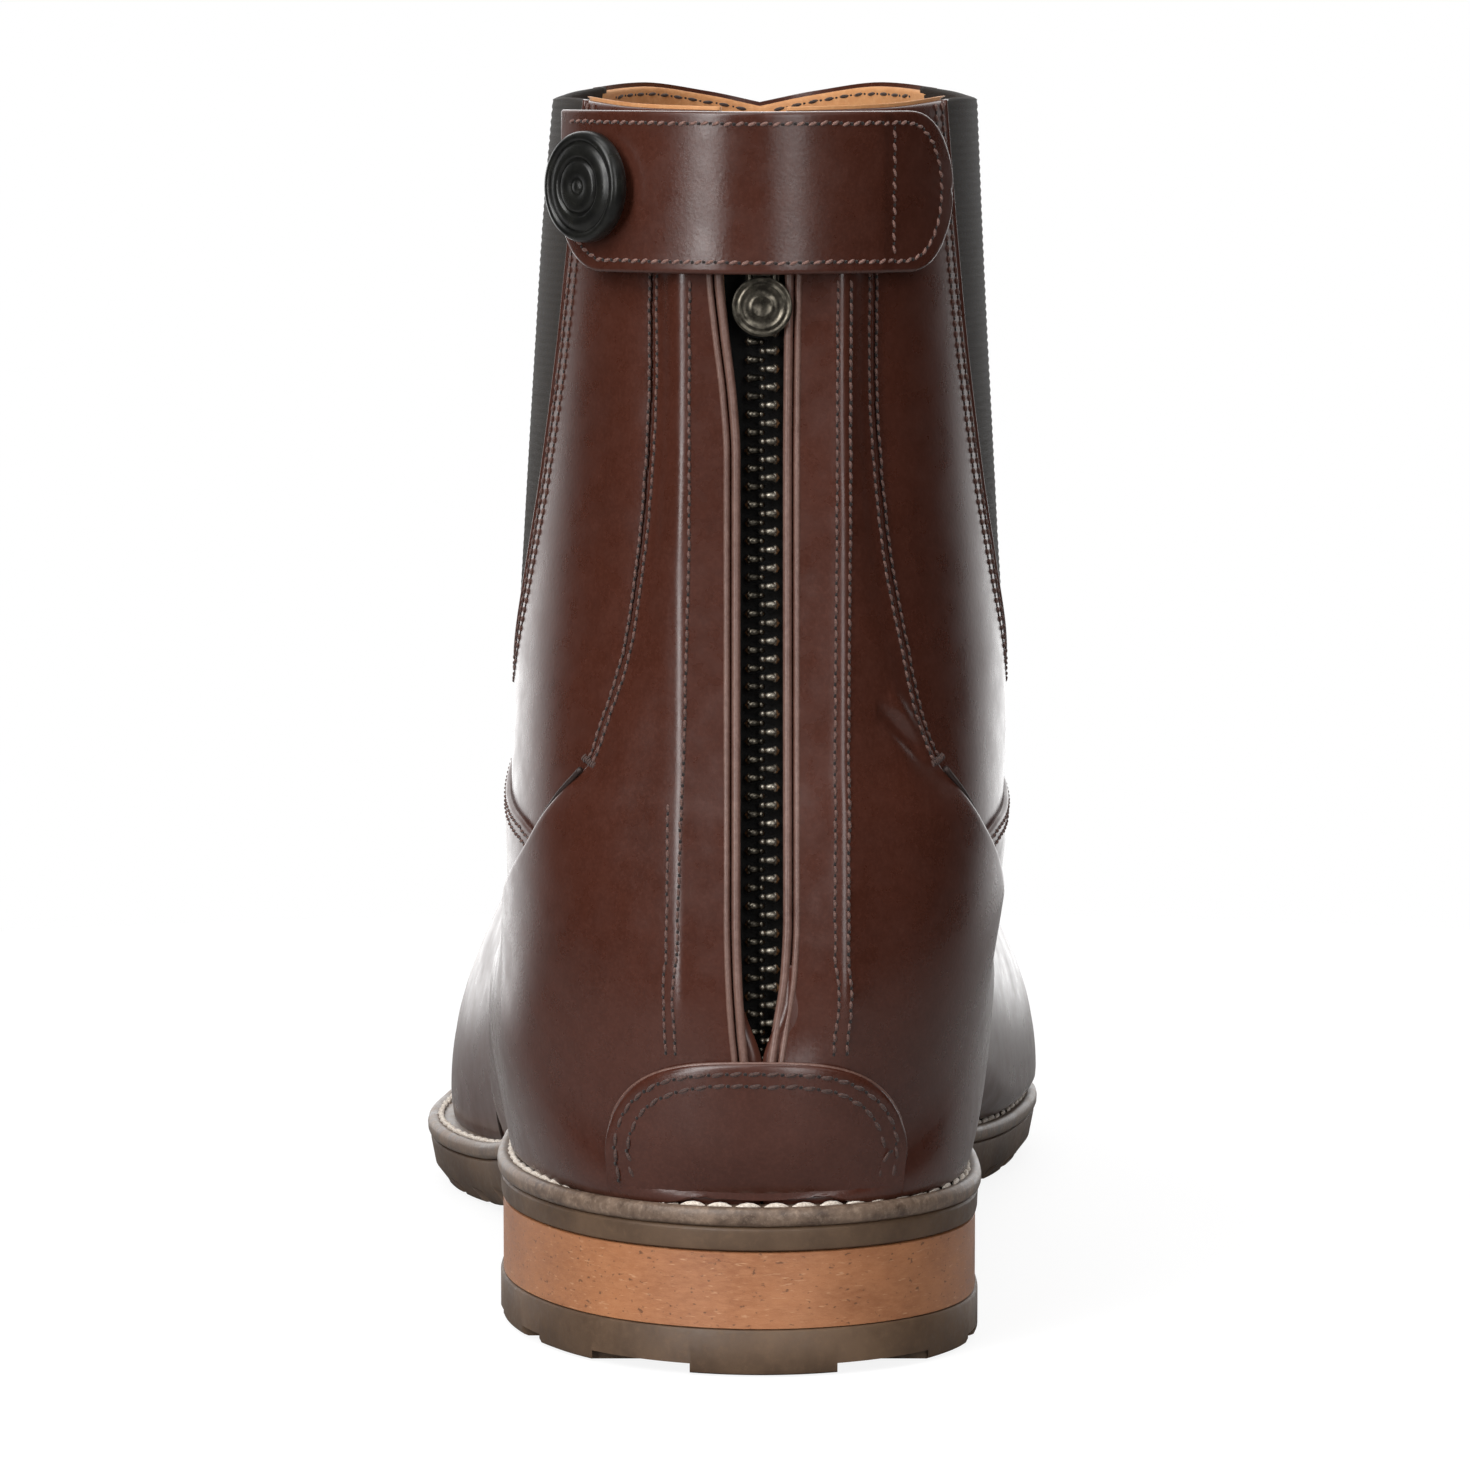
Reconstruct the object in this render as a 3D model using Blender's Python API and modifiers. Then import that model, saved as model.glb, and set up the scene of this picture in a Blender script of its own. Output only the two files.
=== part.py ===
"""Jodhpur boot for the left foot, with a back zip, side gores and a snap strap.

Sizes are millimetres until a mesh is made. X runs from the lateral to the medial side, Y from the
heel to the toe and Z up. A station is a distance ahead of the heel's back edge; the boot's origin is
under the middle of the heel, on the floor.
"""
import math

import bmesh
import bpy
import numpy as np
from mathutils import Matrix

OBJECT = "jodhpur_boot"
MM = 0.001
ORIGIN_STATION = 36.0
GAP = 0.3                 # clearance between neighbouring pieces
WELD = 0.00005            # metres

# Driving dimensions of the sole
SOLE_LENGTH = 288.0
TOE_TIP_X = 4.0
WELT_THICKNESS = 2.8
HEEL_BREAST = 72.0        # station of the heel's front face
BREAST_HOLLOW_RADIUS = 95.0
LIFT_TOP = 6.7
STACK_TOP = 17.9
BREAST_HOLLOW = 4.0
OUTSOLE_TAPER = 2.6       # how much narrower the forefoot's underside is on each side
OUTSOLE_TAPER_SPAN = (80.0, 150.0)
TREAD_SLANT = 0.22        # how far the tread line runs forward for each mm to the medial side
TREAD_SLANT_SPAN = (70.0, 150.0)
TREAD_SLANT_END = 250.0
LUG_DEPTH = 2.4
LUG_PITCH = 13.5
LUG_REACH = 17.0          # how far the notches between edge lugs reach in
LUG_TURN = 12.0           # degrees
EDGE_NOTCHES = 10
EDGE_NOTCH_START = 136.0
EDGE_NOTCH_WIDTH = 4.2
BAR_GROOVES = 9
BAR_GROOVE_START = 143.0
BAR_GROOVE_WIDTH = 3.6
CUTTER_HEIGHT = 12.0
CUTTER_OVERRUN = 6.0      # how far a groove's cutter runs out past the edge
HEEL_LUG_DEPTH = 1.5
INSOLE_PROUD = 2.0        # insole's top above the welt

# Driving dimensions of the upper
WALL = 2.0
FEATHER_HEEL = 4.0        # how far the upper stands in from the sole's edge
FEATHER_FORE = 5.0
BACK_TOP = 181.4          # collar height at the back
SLIT_BOTTOM = 45.0
SLIT_WIDTH = 5.8
TOE_BOX_START = 233.0
TOE_BOX_SQUARENESS = 2.7
FOOT_TURN_IN = 62.0       # degrees a section turns in below its widest place, on the foot
HEEL_ROUND_SPAN = (8.0, 60.0)
TOP_SHARE = (0.32, 0.48)  # share of a section's places above its widest one, and how that follows it
SLIT_OPENING = 10.0       # height over which the slit opens to its full width
HOLD_STATION = 45.0       # behind this the upper's width no longer follows the sole
EASE_REACH = 0.10         # how far the turn from foot to shaft is eased, in sections
EASE_IN = (0.55, 0.85)
EASE_OUT = (1.15, 1.45)
EASE_TAPS = [(-2, 1 / 16), (-1, 4 / 16), (0, 6 / 16), (1, 4 / 16), (2, 1 / 16)]

# Layers over the upper: nearest and farthest distance from its outer face
QUARTER_LAYER = (0.8, 1.9)
COUNTER_LAYER = (2.3, 3.5)
STRAP_LAYER = (2.3, 4.1)
STRAP_RISE = 1.5          # extra height of the strap over the slider
STRAP_RISE_WIDTH = 8.0
STRAP_BOTTOM = 158.3
STRAP_ENDS = (-25.6, 25.2)
STRAP_CORNER = 8.0
COUNTER_HALF_WIDTH = 22.5
COUNTER_TOP = 45.5
COUNTER_SQUARENESS = 3.2
FLAP_HALF_WIDTH = 4.9     # bare edge of the upper beside the slit
OVERLAY_RISE = 2.4        # lowest edge of a layer above the upper's own lower edge

GORE_CENTRE = 59.0
GORE_TIP = 99.0
GORE_HALF_WIDTH = 29.0    # at the collar
GORE_ROUNDNESS = 0.4
GORE_LAYER = (-0.6, -2.0)

TAPE_LAYER = (-2.9, -3.7)
TAPE_HALF_WIDTH = 8.5
CHAIN_LAYER = (-0.5, -2.6)
CHAIN_HALF_WIDTH = 2.3
CHAIN_SPAN = (56.5, 154.6)
TAPE_SPAN = (40.0, 178.5)
PIVOT_HEIGHT = 159.4
PIVOT_LIFT = 0.8
PULL_RADIUS = 4.35
PULL_THICKNESS = 0.9
SNAP_RADIUS = 7.8
SNAP_THICKNESS = 2.8
SNAP_X = -22.3
SNAP_HEIGHT = 170.3
SNAP_PROFILE = [(0.0, 1.0), (0.55, 0.94), (0.82, 0.80), (0.96, 0.58), (1.0, 0.34), (0.97, 0.0), (0.0, 0.0)]

# The slider and the pull, around the hinge under the slider's bridge
BRIDGE_INNER = 0.9
BRIDGE_OUTER = 1.3
BRIDGE_WIDTH = 1.6
BAR_HALF = 0.45           # half height of the pull's cross bar
NECK_HALF_WIDTH = 2.3
WINDOW_HALF_WIDTH = 1.3
WINDOW_BOTTOM = -1.6
SLIDER_WIDTH = 4.8
SLIDER_FACE = -0.85       # slider's outer face, out from the hinge
SLIDER_BACK = -2.8
SLIDER_SPAN = (-4.2, 5.6)

# Half outline of the sole: station, lateral x, medial x
SOLE_OUTLINE = [
    (10.0, -22.6, 22.0),
    (25.0, -32.7, 30.5),
    (45.0, -38.7, 32.6),
    (75.0, -39.2, 30.8),
    (110.0, -39.4, 27.2),
    (145.0, -46.5, 31.5),
    (172.0, -54.8, 40.0),
    (195.0, -55.9, 46.2),
    (220.0, -52.0, 48.8),
    (248.0, -42.6, 43.6),
    (270.0, -30.0, 34.0),
    (282.5, -15.4, 21.2),
]

# Notches of the heel lift: middle x, middle station, width, length
HEEL_NOTCHES = [
    (-17.6, 3.0, 14.3, 22.0),
    (17.6, 3.0, 13.4, 22.0),
    (-36.0, 29.0, 22.0, 7.0),
    (-36.0, 50.0, 22.0, 7.0),
    (31.0, 29.0, 22.0, 7.0),
    (31.0, 50.0, 22.0, 7.0),
]

# Height of the sole: station, welt top, outsole thickness with its lugs
SOLE_HEIGHTS = [
    (0.0, 24.5, 3.7),
    (76.0, 24.5, 3.7),
    (95.0, 22.6, 4.5),
    (115.0, 18.6, 5.8),
    (135.0, 14.6, 7.0),
    (155.0, 11.8, 7.9),
    (166.0, 11.0, 7.9),
    (176.0, 10.7, 7.9),
    (216.0, 10.7, 7.9),
    (232.0, 11.5, 7.9),
    (250.0, 13.3, 7.7),
    (270.0, 16.1, 7.5),
    (288.0, 19.3, 7.2),
]

# Sections of the foot, each from a point on the sole to one on the ridge of the vamp and instep:
# sole station, ridge station, ridge height, ridge x, lateral bulge, medial bulge, widest place
FOOT_SECTIONS = [
    (4.0, 117.0, 123.0, 0.0, 2.2, 4.5, 0.60),
    (20.0, 118.0, 121.5, 0.0, 2.2, 4.6, 0.62),
    (40.0, 120.0, 119.0, 0.2, 2.2, 5.0, 0.65),
    (60.0, 123.0, 115.5, 0.5, 2.4, 6.6, 0.68),
    (80.0, 127.0, 111.0, 1.0, 3.1, 8.6, 0.71),
    (100.0, 133.0, 105.5, 1.6, 4.1, 10.8, 0.74),
    (120.0, 141.0, 99.0, 2.2, 4.4, 11.2, 0.77),
    (140.0, 152.0, 91.5, 2.8, 3.3, 10.6, 0.82),
    (160.0, 166.0, 83.0, 3.3, 1.7, 8.6, 0.88),
    (180.0, 183.0, 74.0, 3.7, 0.5, 6.4, 0.93),
    (200.0, 201.0, 66.2, 4.0, 0.5, 5.0, 0.93),
    (220.0, 220.0, 59.8, 4.2, 0.8, 3.8, 0.91),
    (240.0, 240.0, 54.8, 4.3, 1.2, 2.2, 0.88),
    (262.0, 262.0, 50.6, 4.2, 1.3, 1.4, 0.83),
    (283.0, 283.0, 46.5, 4.0, 1.2, 1.2, 0.80),
]

# Sections of the shaft, each from the back line to the front line:
# back height, back station, front station, front height, lateral half width, medial half width, widest place
SHAFT_SECTIONS = [
    (24.8, 4.0, 117.0, 123.0, 36.9, 33.1, 0.60),
    (45.0, 2.6, 116.0, 127.5, 37.8, 36.7, 0.585),
    (60.0, 3.4, 114.8, 131.5, 37.2, 36.8, 0.57),
    (80.0, 6.6, 113.8, 137.0, 36.9, 36.8, 0.555),
    (100.0, 9.8, 113.0, 143.0, 36.2, 36.2, 0.545),
    (120.0, 11.8, 112.4, 149.5, 35.4, 35.5, 0.535),
    (140.0, 12.2, 111.8, 157.5, 34.5, 34.7, 0.53),
    (160.0, 11.6, 111.2, 167.5, 33.5, 33.9, 0.525),
    (181.4, 10.5, 110.5, 184.6, 31.8, 33.0, 0.52),
]

# Collar edge above a level cut: place around from the front centre, extra height
COLLAR_EDGE = [
    (0.0, -1.6),
    (0.10, 0.2),
    (0.24, 1.8),
    (0.40, 1.1),
    (0.55, 0.6),
    (0.70, 1.2),
    (0.85, 0.3),
    (1.0, 0.0),
]

# Outer edge of the back quarters on the back of the boot: height, lateral x, medial x
QUARTER_EDGE = [
    (156.5, -15.6, 15.9),
    (139.6, -15.7, 16.0),
    (113.9, -17.8, 18.6),
    (103.3, -19.5, 20.7),
    (93.4, -23.1, 23.4),
    (84.6, -26.4, 26.6),
    (77.6, -30.2, 30.6),
]
# The same edge on the sides: height, station
QUARTER_SIDE_EDGE = [
    (72.0, 36.0),
    (67.0, 45.0),
    (60.0, 66.0),
    (53.5, 92.0),
    (44.0, 118.0),
    (31.0, 138.0),
]
QUARTER_SOLE_STATION = 150.0
QUARTER_TIP = 0.035       # where the quarter's front tip starts past that station, in sections


def smooth_through(table, column, at):
    """Monotone cubic through one column of a table whose first column rises."""
    rows = np.asarray(table, dtype=float)
    keys = rows[:, 0]
    values = rows[:, column]
    step = np.diff(keys)
    rise = np.diff(values) / step
    slope = np.zeros_like(values)
    same_way = rise[:-1] * rise[1:] > 0
    before = 2 * step[1:] + step[:-1]
    after = step[1:] + 2 * step[:-1]
    safe = np.where(same_way, rise[:-1] * rise[1:], 1.0)
    mean = (before + after) * safe / np.where(same_way, before * rise[1:] + after * rise[:-1], 1.0)
    slope[1:-1] = np.where(same_way, mean, 0.0)
    slope[0] = rise[0]
    slope[-1] = rise[-1]
    at = np.clip(np.asarray(at, dtype=float), keys[0], keys[-1])
    index = np.clip(np.searchsorted(keys, at, side="right") - 1, 0, len(keys) - 2)
    width = step[index]
    u = (at - keys[index]) / width
    start = values[index] * (1 + 2 * u) * (1 - u) ** 2 + slope[index] * width * u * (1 - u) ** 2
    end = values[index + 1] * u ** 2 * (3 - 2 * u) - slope[index + 1] * width * u ** 2 * (1 - u)
    return start + end


def ease(low, high, value):
    u = np.clip((np.asarray(value, dtype=float) - low) / (high - low), 0.0, 1.0)
    return u * u * (3 - 2 * u)


# Sole outline

def closed_spline(points, count):
    """Points and tangents on a smooth closed curve through the given points."""
    points = np.asarray(points, dtype=float)
    total = len(points)
    chord = np.linalg.norm(np.roll(points, -1, axis=0) - points, axis=1)
    system = np.zeros((total, total))
    target = np.zeros((total, 2))
    for i in range(total):
        before = chord[i - 1]
        after = chord[i]
        system[i, i - 1] = after
        system[i, i] = 2 * (before + after)
        system[i, (i + 1) % total] = before
        target[i] = 3 * (after * (points[i] - points[i - 1]) / before
                         + before * (points[(i + 1) % total] - points[i]) / after)
    slope = np.linalg.solve(system, target)
    place = np.linspace(0, total, count, endpoint=False)
    index = place.astype(int)
    u = (place - index)[:, None]
    width = chord[index][:, None]
    following = (index + 1) % total
    p0, p1 = points[index], points[following]
    m0, m1 = slope[index] * width, slope[following] * width
    curve = (p0 * (1 + 2 * u) * (1 - u) ** 2 + m0 * u * (1 - u) ** 2
             + p1 * u ** 2 * (3 - 2 * u) - m1 * u ** 2 * (1 - u))
    tangent = ((p0 - p1) * 6 * u * (u - 1) + m0 * (1 - u) * (1 - 3 * u) + m1 * u * (3 * u - 2))
    return curve, tangent / np.linalg.norm(tangent, axis=1)[:, None]


class Outline:
    """The sole's outline, drawn in by an inset that may differ from heel to forefoot."""

    def __init__(self, heel_inset, fore_inset):
        lateral = [(row[1], row[0]) for row in SOLE_OUTLINE]
        medial = [(row[2], row[0]) for row in reversed(SOLE_OUTLINE)]
        points = [(0.0, 0.0)] + lateral + [(TOE_TIP_X, SOLE_LENGTH)] + medial
        curve, tangent = closed_spline(points, 1440)
        inward = np.stack([tangent[:, 1], -tangent[:, 0]], axis=1)
        inset = heel_inset + (fore_inset - heel_inset) * ease(60, 160, curve[:, 1])
        curve = curve + inward * inset[:, None]
        heel = int(np.argmin(curve[:, 1]))
        curve = np.roll(curve, -heel, axis=0)
        toe = int(np.argmax(curve[:, 1]))
        self.lateral = curve[:toe + 1]
        self.medial = np.vstack([curve[toe:], curve[:1]])[::-1]
        self.start = curve[0, 1]
        self.end = curve[toe, 1]

    def x(self, station, side):
        """Edge of the lateral (side -1) or medial (side +1) half at a station."""
        half = self.lateral if side < 0 else self.medial
        order = np.argsort(half[:, 1])
        return np.interp(station, half[order, 1], half[order, 0])


def tread_station(station, x):
    """Station along the slanting tread: the medial ball lies ahead of the lateral one."""
    slant = TREAD_SLANT * ease(*TREAD_SLANT_SPAN, station) * (1 - ease(TREAD_SLANT_END, SOLE_LENGTH, station))
    return station - slant * np.asarray(x)


def welt_top(station, x=0.0):
    return smooth_through(SOLE_HEIGHTS, 1, tread_station(station, x))


def outsole_bottom(station, x=0.0):
    thickness = smooth_through(SOLE_HEIGHTS, 2, tread_station(station, x))
    return welt_top(station, x) - WELT_THICKNESS - thickness


SOLE = Outline(0.0, 0.0)
FEATHER = Outline(FEATHER_HEEL, FEATHER_FORE)
HEEL_SEAT = float(welt_top(FEATHER.start)) + GAP


# The upper's surface: s runs from toe tip (0) along the foot to the heel (1) and up to the collar (2),
# t from the lateral end of a section (-1) over its ridge (0) to the medial end (1)

def foot_station(s):
    middle = (FEATHER.end + FEATHER.start) / 2
    return middle + (FEATHER.end - FEATHER.start) / 2 * np.cos(math.pi * np.clip(s, 0, 1))


def back_height(s):
    return HEEL_SEAT + (BACK_TOP - HEEL_SEAT) * np.clip(s - 1, 0, 1)


def upper_surface(s, t):
    """Points of the upper's outer face, eased across the turn from the foot to the shaft."""
    s = np.asarray(s, dtype=float)
    t = np.asarray(t, dtype=float)
    reach = EASE_REACH * ease(*EASE_IN, s) * (1 - ease(*EASE_OUT, s)) * (1 - np.abs(t) ** 3)
    total = 0.0
    for place, weight in EASE_TAPS:
        total = total + weight * section_point(s + place * reach, t)
    return total


def section_point(s, t):
    """Points of the sections as their tables give them; s and t are arrays of one shape."""
    s = np.asarray(s, dtype=float)
    t = np.asarray(t, dtype=float)
    side = np.where(t < 0, -1.0, 1.0)
    around = np.abs(t)
    on_foot = s < 1
    sole = foot_station(s)
    back = back_height(s)
    seat = welt_top(sole) + GAP

    toe = np.clip((sole - TOE_BOX_START) / (FEATHER.end - TOE_BOX_START), 0, 1)
    box = (1 - toe ** TOE_BOX_SQUARENESS) ** (1 / TOE_BOX_SQUARENESS)
    ridge_z = seat + (smooth_through(FOOT_SECTIONS, 2, sole) - seat) * box
    front_y = np.where(on_foot, smooth_through(FOOT_SECTIONS, 1, sole), smooth_through(SHAFT_SECTIONS, 2, back))
    front_y = np.where(sole > FOOT_SECTIONS[-2][0], sole, front_y)
    front_z = np.where(on_foot, ridge_z, smooth_through(SHAFT_SECTIONS, 3, back))
    end_y = np.where(on_foot, sole, smooth_through(SHAFT_SECTIONS, 1, back))
    feather = np.where(side < 0, FEATHER.x(sole, -1), FEATHER.x(sole, 1))
    end_z = np.where(on_foot, welt_top(sole, feather) + GAP, back)
    ridge_x = np.where(on_foot, smooth_through(FOOT_SECTIONS, 3, sole), 0.0)
    ridge_x = np.where(toe > 0, ridge_x + (FEATHER.x(FEATHER.end, 1) - ridge_x) * toe ** 4, ridge_x)
    widest = np.where(on_foot, smooth_through(FOOT_SECTIONS, 6, sole), smooth_through(SHAFT_SECTIONS, 6, back))

    held = np.maximum(sole, HOLD_STATION)
    bulge = np.where(side < 0, smooth_through(FOOT_SECTIONS, 4, sole), smooth_through(FOOT_SECTIONS, 5, sole))
    bulge = bulge * (1 - toe ** 6)
    foot_width = np.where(side < 0, -FEATHER.x(held, -1), FEATHER.x(held, 1)) + bulge
    slit = SLIT_WIDTH / 2 * ease(SLIT_BOTTOM - 0.5, SLIT_BOTTOM + SLIT_OPENING, back)
    shaft_width = np.where(side < 0, smooth_through(SHAFT_SECTIONS, 4, back),
                           smooth_through(SHAFT_SECTIONS, 5, back))
    half_width = np.where(on_foot, foot_width - side * ridge_x, shaft_width)
    end_width = np.where(on_foot, side * (feather - ridge_x), slit)

    split = TOP_SHARE[0] + TOP_SHARE[1] * widest
    upper_part = around < split
    rise = np.clip(around / split, 0, 1) * math.pi / 2
    turn_in = math.radians(FOOT_TURN_IN)
    last = turn_in + (math.pi / 2 - turn_in) * (1 - ease(*HEEL_ROUND_SPAN, sole))
    fall = np.clip((around - split) / (1 - split), 0, 1) * last
    x = np.where(upper_part, half_width * np.sin(rise),
               end_width + (half_width - end_width) * (np.cos(fall) - np.cos(last)) / (1 - np.cos(last)))
    down = np.where(upper_part, widest * (1 - np.cos(rise)),
                  widest + (1 - widest) * np.sin(fall) / np.sin(last))

    collar = smooth_through(COLLAR_EDGE, 1, around) * ease(150, BACK_TOP, back) * (s > 1)
    return np.stack([
        ridge_x + side * x,
        front_y + (end_y - front_y) * down,
        front_z + (end_z - front_z) * down + collar,
    ], axis=-1)


def upper_normal(s, t):
    step = 0.002
    s = np.clip(s, 0.01, 2.0)
    along = upper_surface(np.minimum(s + step, 2.0), t) - upper_surface(s - step, t)
    across = upper_surface(s, np.minimum(t + step, 1.0)) - upper_surface(s, np.maximum(t - step, -1.0))
    normal = np.cross(along, across)
    return normal / np.linalg.norm(normal, axis=-1)[..., None]


def over_upper(s, t, lift):
    return upper_surface(s, t) + upper_normal(s, t) * np.asarray(lift)[..., None]


def find_on_upper(side, axes, wanted, s_range=(0.55, 2.0), t_range=(0.02, 1.0)):
    """Places (s, t) on one side of the upper where two of its coordinates have the wanted values."""
    wanted = np.asarray(wanted, dtype=float)
    coarse_s, coarse_t = np.meshgrid(np.linspace(*s_range, 90), side * np.linspace(*t_range, 60), indexing="ij")
    grid = upper_surface(coarse_s, coarse_t)[..., list(axes)].reshape(-1, 2)
    nearest = [int(np.argmin(((grid - point) ** 2).sum(axis=1))) for point in wanted]
    place = np.stack([coarse_s.ravel()[nearest], coarse_t.ravel()[nearest]], axis=1)
    step = 1e-4
    limit_t = sorted((side * t_range[0], side * t_range[1]))
    for _ in range(12):
        here = upper_surface(place[:, 0], place[:, 1])[:, list(axes)]
        by_s = (upper_surface(place[:, 0] - step, place[:, 1])[:, list(axes)] - here) / -step
        by_t = (upper_surface(place[:, 0], place[:, 1] - side * step)[:, list(axes)] - here) / (-side * step)
        determinant = by_s[:, 0] * by_t[:, 1] - by_s[:, 1] * by_t[:, 0]
        miss = wanted - here
        place[:, 0] += 0.7 * (miss[:, 0] * by_t[:, 1] - miss[:, 1] * by_t[:, 0]) / determinant
        place[:, 1] += 0.7 * (by_s[:, 0] * miss[:, 1] - by_s[:, 1] * miss[:, 0]) / determinant
        place[:, 0] = np.clip(place[:, 0], s_range[0] + step, s_range[1])
        place[:, 1] = np.clip(place[:, 1], limit_t[0] + step, limit_t[1] - step)
    return place


def nearest_on_upper(side, points, s_range=(0.4, 2.0)):
    """Places (s, t) on one side of the upper that lie nearest to points."""
    points = np.asarray(points, dtype=float)
    coarse_s, coarse_t = np.meshgrid(np.linspace(*s_range, 90), side * np.linspace(0.3, 1.0, 60), indexing="ij")
    grid = upper_surface(coarse_s, coarse_t).reshape(-1, 3)
    nearest = [int(np.argmin(((grid - point) ** 2).sum(axis=1))) for point in points]
    s = coarse_s.ravel()[nearest]
    t = coarse_t.ravel()[nearest]
    step = 1e-4
    for _ in range(8):
        here = upper_surface(s, t)
        by_s = (here - upper_surface(s - step, t)) / step
        by_t = (here - upper_surface(s, t - side * step)) / (side * step)
        miss = points - here
        ss, tt, st = (by_s ** 2).sum(1), (by_t ** 2).sum(1), (by_s * by_t).sum(1)
        ms, mt = (miss * by_s).sum(1), (miss * by_t).sum(1)
        determinant = ss * tt - st ** 2
        s = np.clip(s + 0.7 * (ms * tt - mt * st) / determinant, s_range[0], s_range[1])
        t = side * np.clip(side * (t + 0.7 * (mt * ss - ms * st) / determinant), 0.2, 1.0)
    return np.stack([s, t], axis=1)


def open_spline(points, count):
    """Smooth line through points in space, by running length."""
    points = np.asarray(points, dtype=float)
    run = np.concatenate([[0], np.cumsum(np.linalg.norm(np.diff(points, axis=0), axis=1))])
    slope = np.gradient(points, run, axis=0)
    at = np.linspace(0, run[-1], count)
    index = np.clip(np.searchsorted(run, at, side="right") - 1, 0, len(run) - 2)
    width = (run[index + 1] - run[index])[:, None]
    u = ((at - run[index])[:, None]) / width
    return (points[index] * (1 + 2 * u) * (1 - u) ** 2 + slope[index] * width * u * (1 - u) ** 2
            + points[index + 1] * u ** 2 * (3 - 2 * u) - slope[index + 1] * width * u ** 2 * (1 - u))


def s_at_height(t, height):
    """Section of the shaft that passes a height at one place around it."""
    sections = np.linspace(1.0, 2.0, 200)
    z = upper_surface(sections, np.full_like(sections, t))[:, 2]
    return float(np.interp(height, z, sections))


def t_at_x(s, x):
    """Place around a section, on its back half, where it is x from the middle."""
    around = np.linspace(0.45, 1.0, 200)
    line = upper_surface(np.full_like(around, s), math.copysign(1, x) * around)
    return math.copysign(float(np.interp(-abs(x), -np.abs(line[:, 0]), around)), x)


def t_at_rise(s, side, rise):
    """Place around a section where it is a little above the end that stands on the welt."""
    around = np.linspace(0.45, 1.0, 200)
    line = upper_surface(np.full_like(around, s), side * around)
    seat = line[-1, 2] if s < 1 else HEEL_SEAT
    return float(np.interp(-(seat + rise), -line[:, 2], around))


# Meshes

def to_metres(points):
    points = np.array(points, dtype=float)
    points[..., 1] -= ORIGIN_STATION
    return points * MM


def clear_scene():
    for item in list(bpy.data.objects):
        bpy.data.objects.remove(item, do_unlink=True)


def new_collection(name):
    collection = bpy.data.collections.new(name)
    bpy.context.scene.collection.children.link(collection)
    return collection


def material(name, colour, roughness, metallic=0.0):
    made = bpy.data.materials.new(name)
    made.use_nodes = True
    shader = made.node_tree.nodes["Principled BSDF"]
    shader.inputs["Base Color"].default_value = (*colour, 1.0)
    shader.inputs["Roughness"].default_value = roughness
    shader.inputs["Metallic"].default_value = metallic
    return made


def add_object(name, mesh, collection, finish=None):
    made = bpy.data.objects.new(name, mesh)
    collection.objects.link(made)
    if finish:
        mesh.materials.append(finish)
    return made


def mesh_from_rings(name, rings, closed_rings, capped):
    """Mesh through equal rows of points in millimetres, with seams and poles welded."""
    rings = to_metres(rings)
    rows, columns = rings.shape[:2]
    work = bmesh.new()
    verts = [[work.verts.new(point) for point in ring] for ring in rings]
    for i in range(rows - 1):
        for j in range(columns if closed_rings else columns - 1):
            k = (j + 1) % columns
            work.faces.new((verts[i][j], verts[i + 1][j], verts[i + 1][k], verts[i][k]))
    if capped:
        work.faces.new(verts[0])
        work.faces.new(reversed(verts[-1]))
    bmesh.ops.remove_doubles(work, verts=work.verts, dist=WELD)
    bmesh.ops.dissolve_degenerate(work, edges=work.edges, dist=WELD / 10)
    mesh = bpy.data.meshes.new(name)
    work.to_mesh(mesh)
    work.free()
    return mesh


def shell(name, grid, thickness, collection, finish):
    """Open sheet given a thickness along its faces: outwards where positive, inwards where negative."""
    made = add_object(name, mesh_from_rings(name, grid, False, False), collection, finish)
    made.data.shade_smooth()
    solid = made.modifiers.new("thickness", "SOLIDIFY")
    solid.thickness = abs(thickness) * MM
    solid.offset = math.copysign(1, thickness)
    solid.use_even_offset = False
    return made


def layer_shell(name, s, t, layer, collection, finish):
    """Sheet between two distances from the upper's outer face, over a grid of places."""
    near, far = layer
    return shell(name, over_upper(s, t, np.full(np.shape(s), near)), far - near, collection, finish)


def plate(name, outline, stations, bottom, top, collection, finish, taper=0.0):
    """Layer of the sole that follows its heights from heel to toe and may narrow to its underside."""
    rings = []
    for station in stations:
        left = float(outline.x(station, -1))
        right = float(outline.x(station, 1))
        middle = (left + right) / 2
        narrow = min(taper * float(ease(*OUTSOLE_TAPER_SPAN, station)), (right - left) / 4)
        over = [(x, station, top(station, x)) for x in (left, middle, right)]
        under = [(right - narrow, station, bottom(station, right)), (middle, station, bottom(station, middle)),
                 (left + narrow, station, bottom(station, left))]
        rings.append(over + under)
    return add_object(name, outward(mesh_from_rings(name, rings, True, True)), collection, finish)


def prism(name, outline, axis, span, collection):
    """Closed solid with a flat outline in the two other axes, between two values along one axis."""
    order = [i for i in range(3) if i != axis]
    rings = []
    for end in span:
        ring = np.zeros((len(outline), 3))
        ring[:, order] = outline
        ring[:, axis] = end
        rings.append(ring)
    return make_cutter(add_object(name, outward(mesh_from_rings(name, rings, True, True)), collection))


def outward(mesh):
    work = bmesh.new()
    work.from_mesh(mesh)
    bmesh.ops.recalc_face_normals(work, faces=work.faces)
    work.to_mesh(mesh)
    work.free()
    return mesh


def make_cutter(made):
    made.hide_render = True
    made.display_type = "WIRE"
    return made


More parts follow.
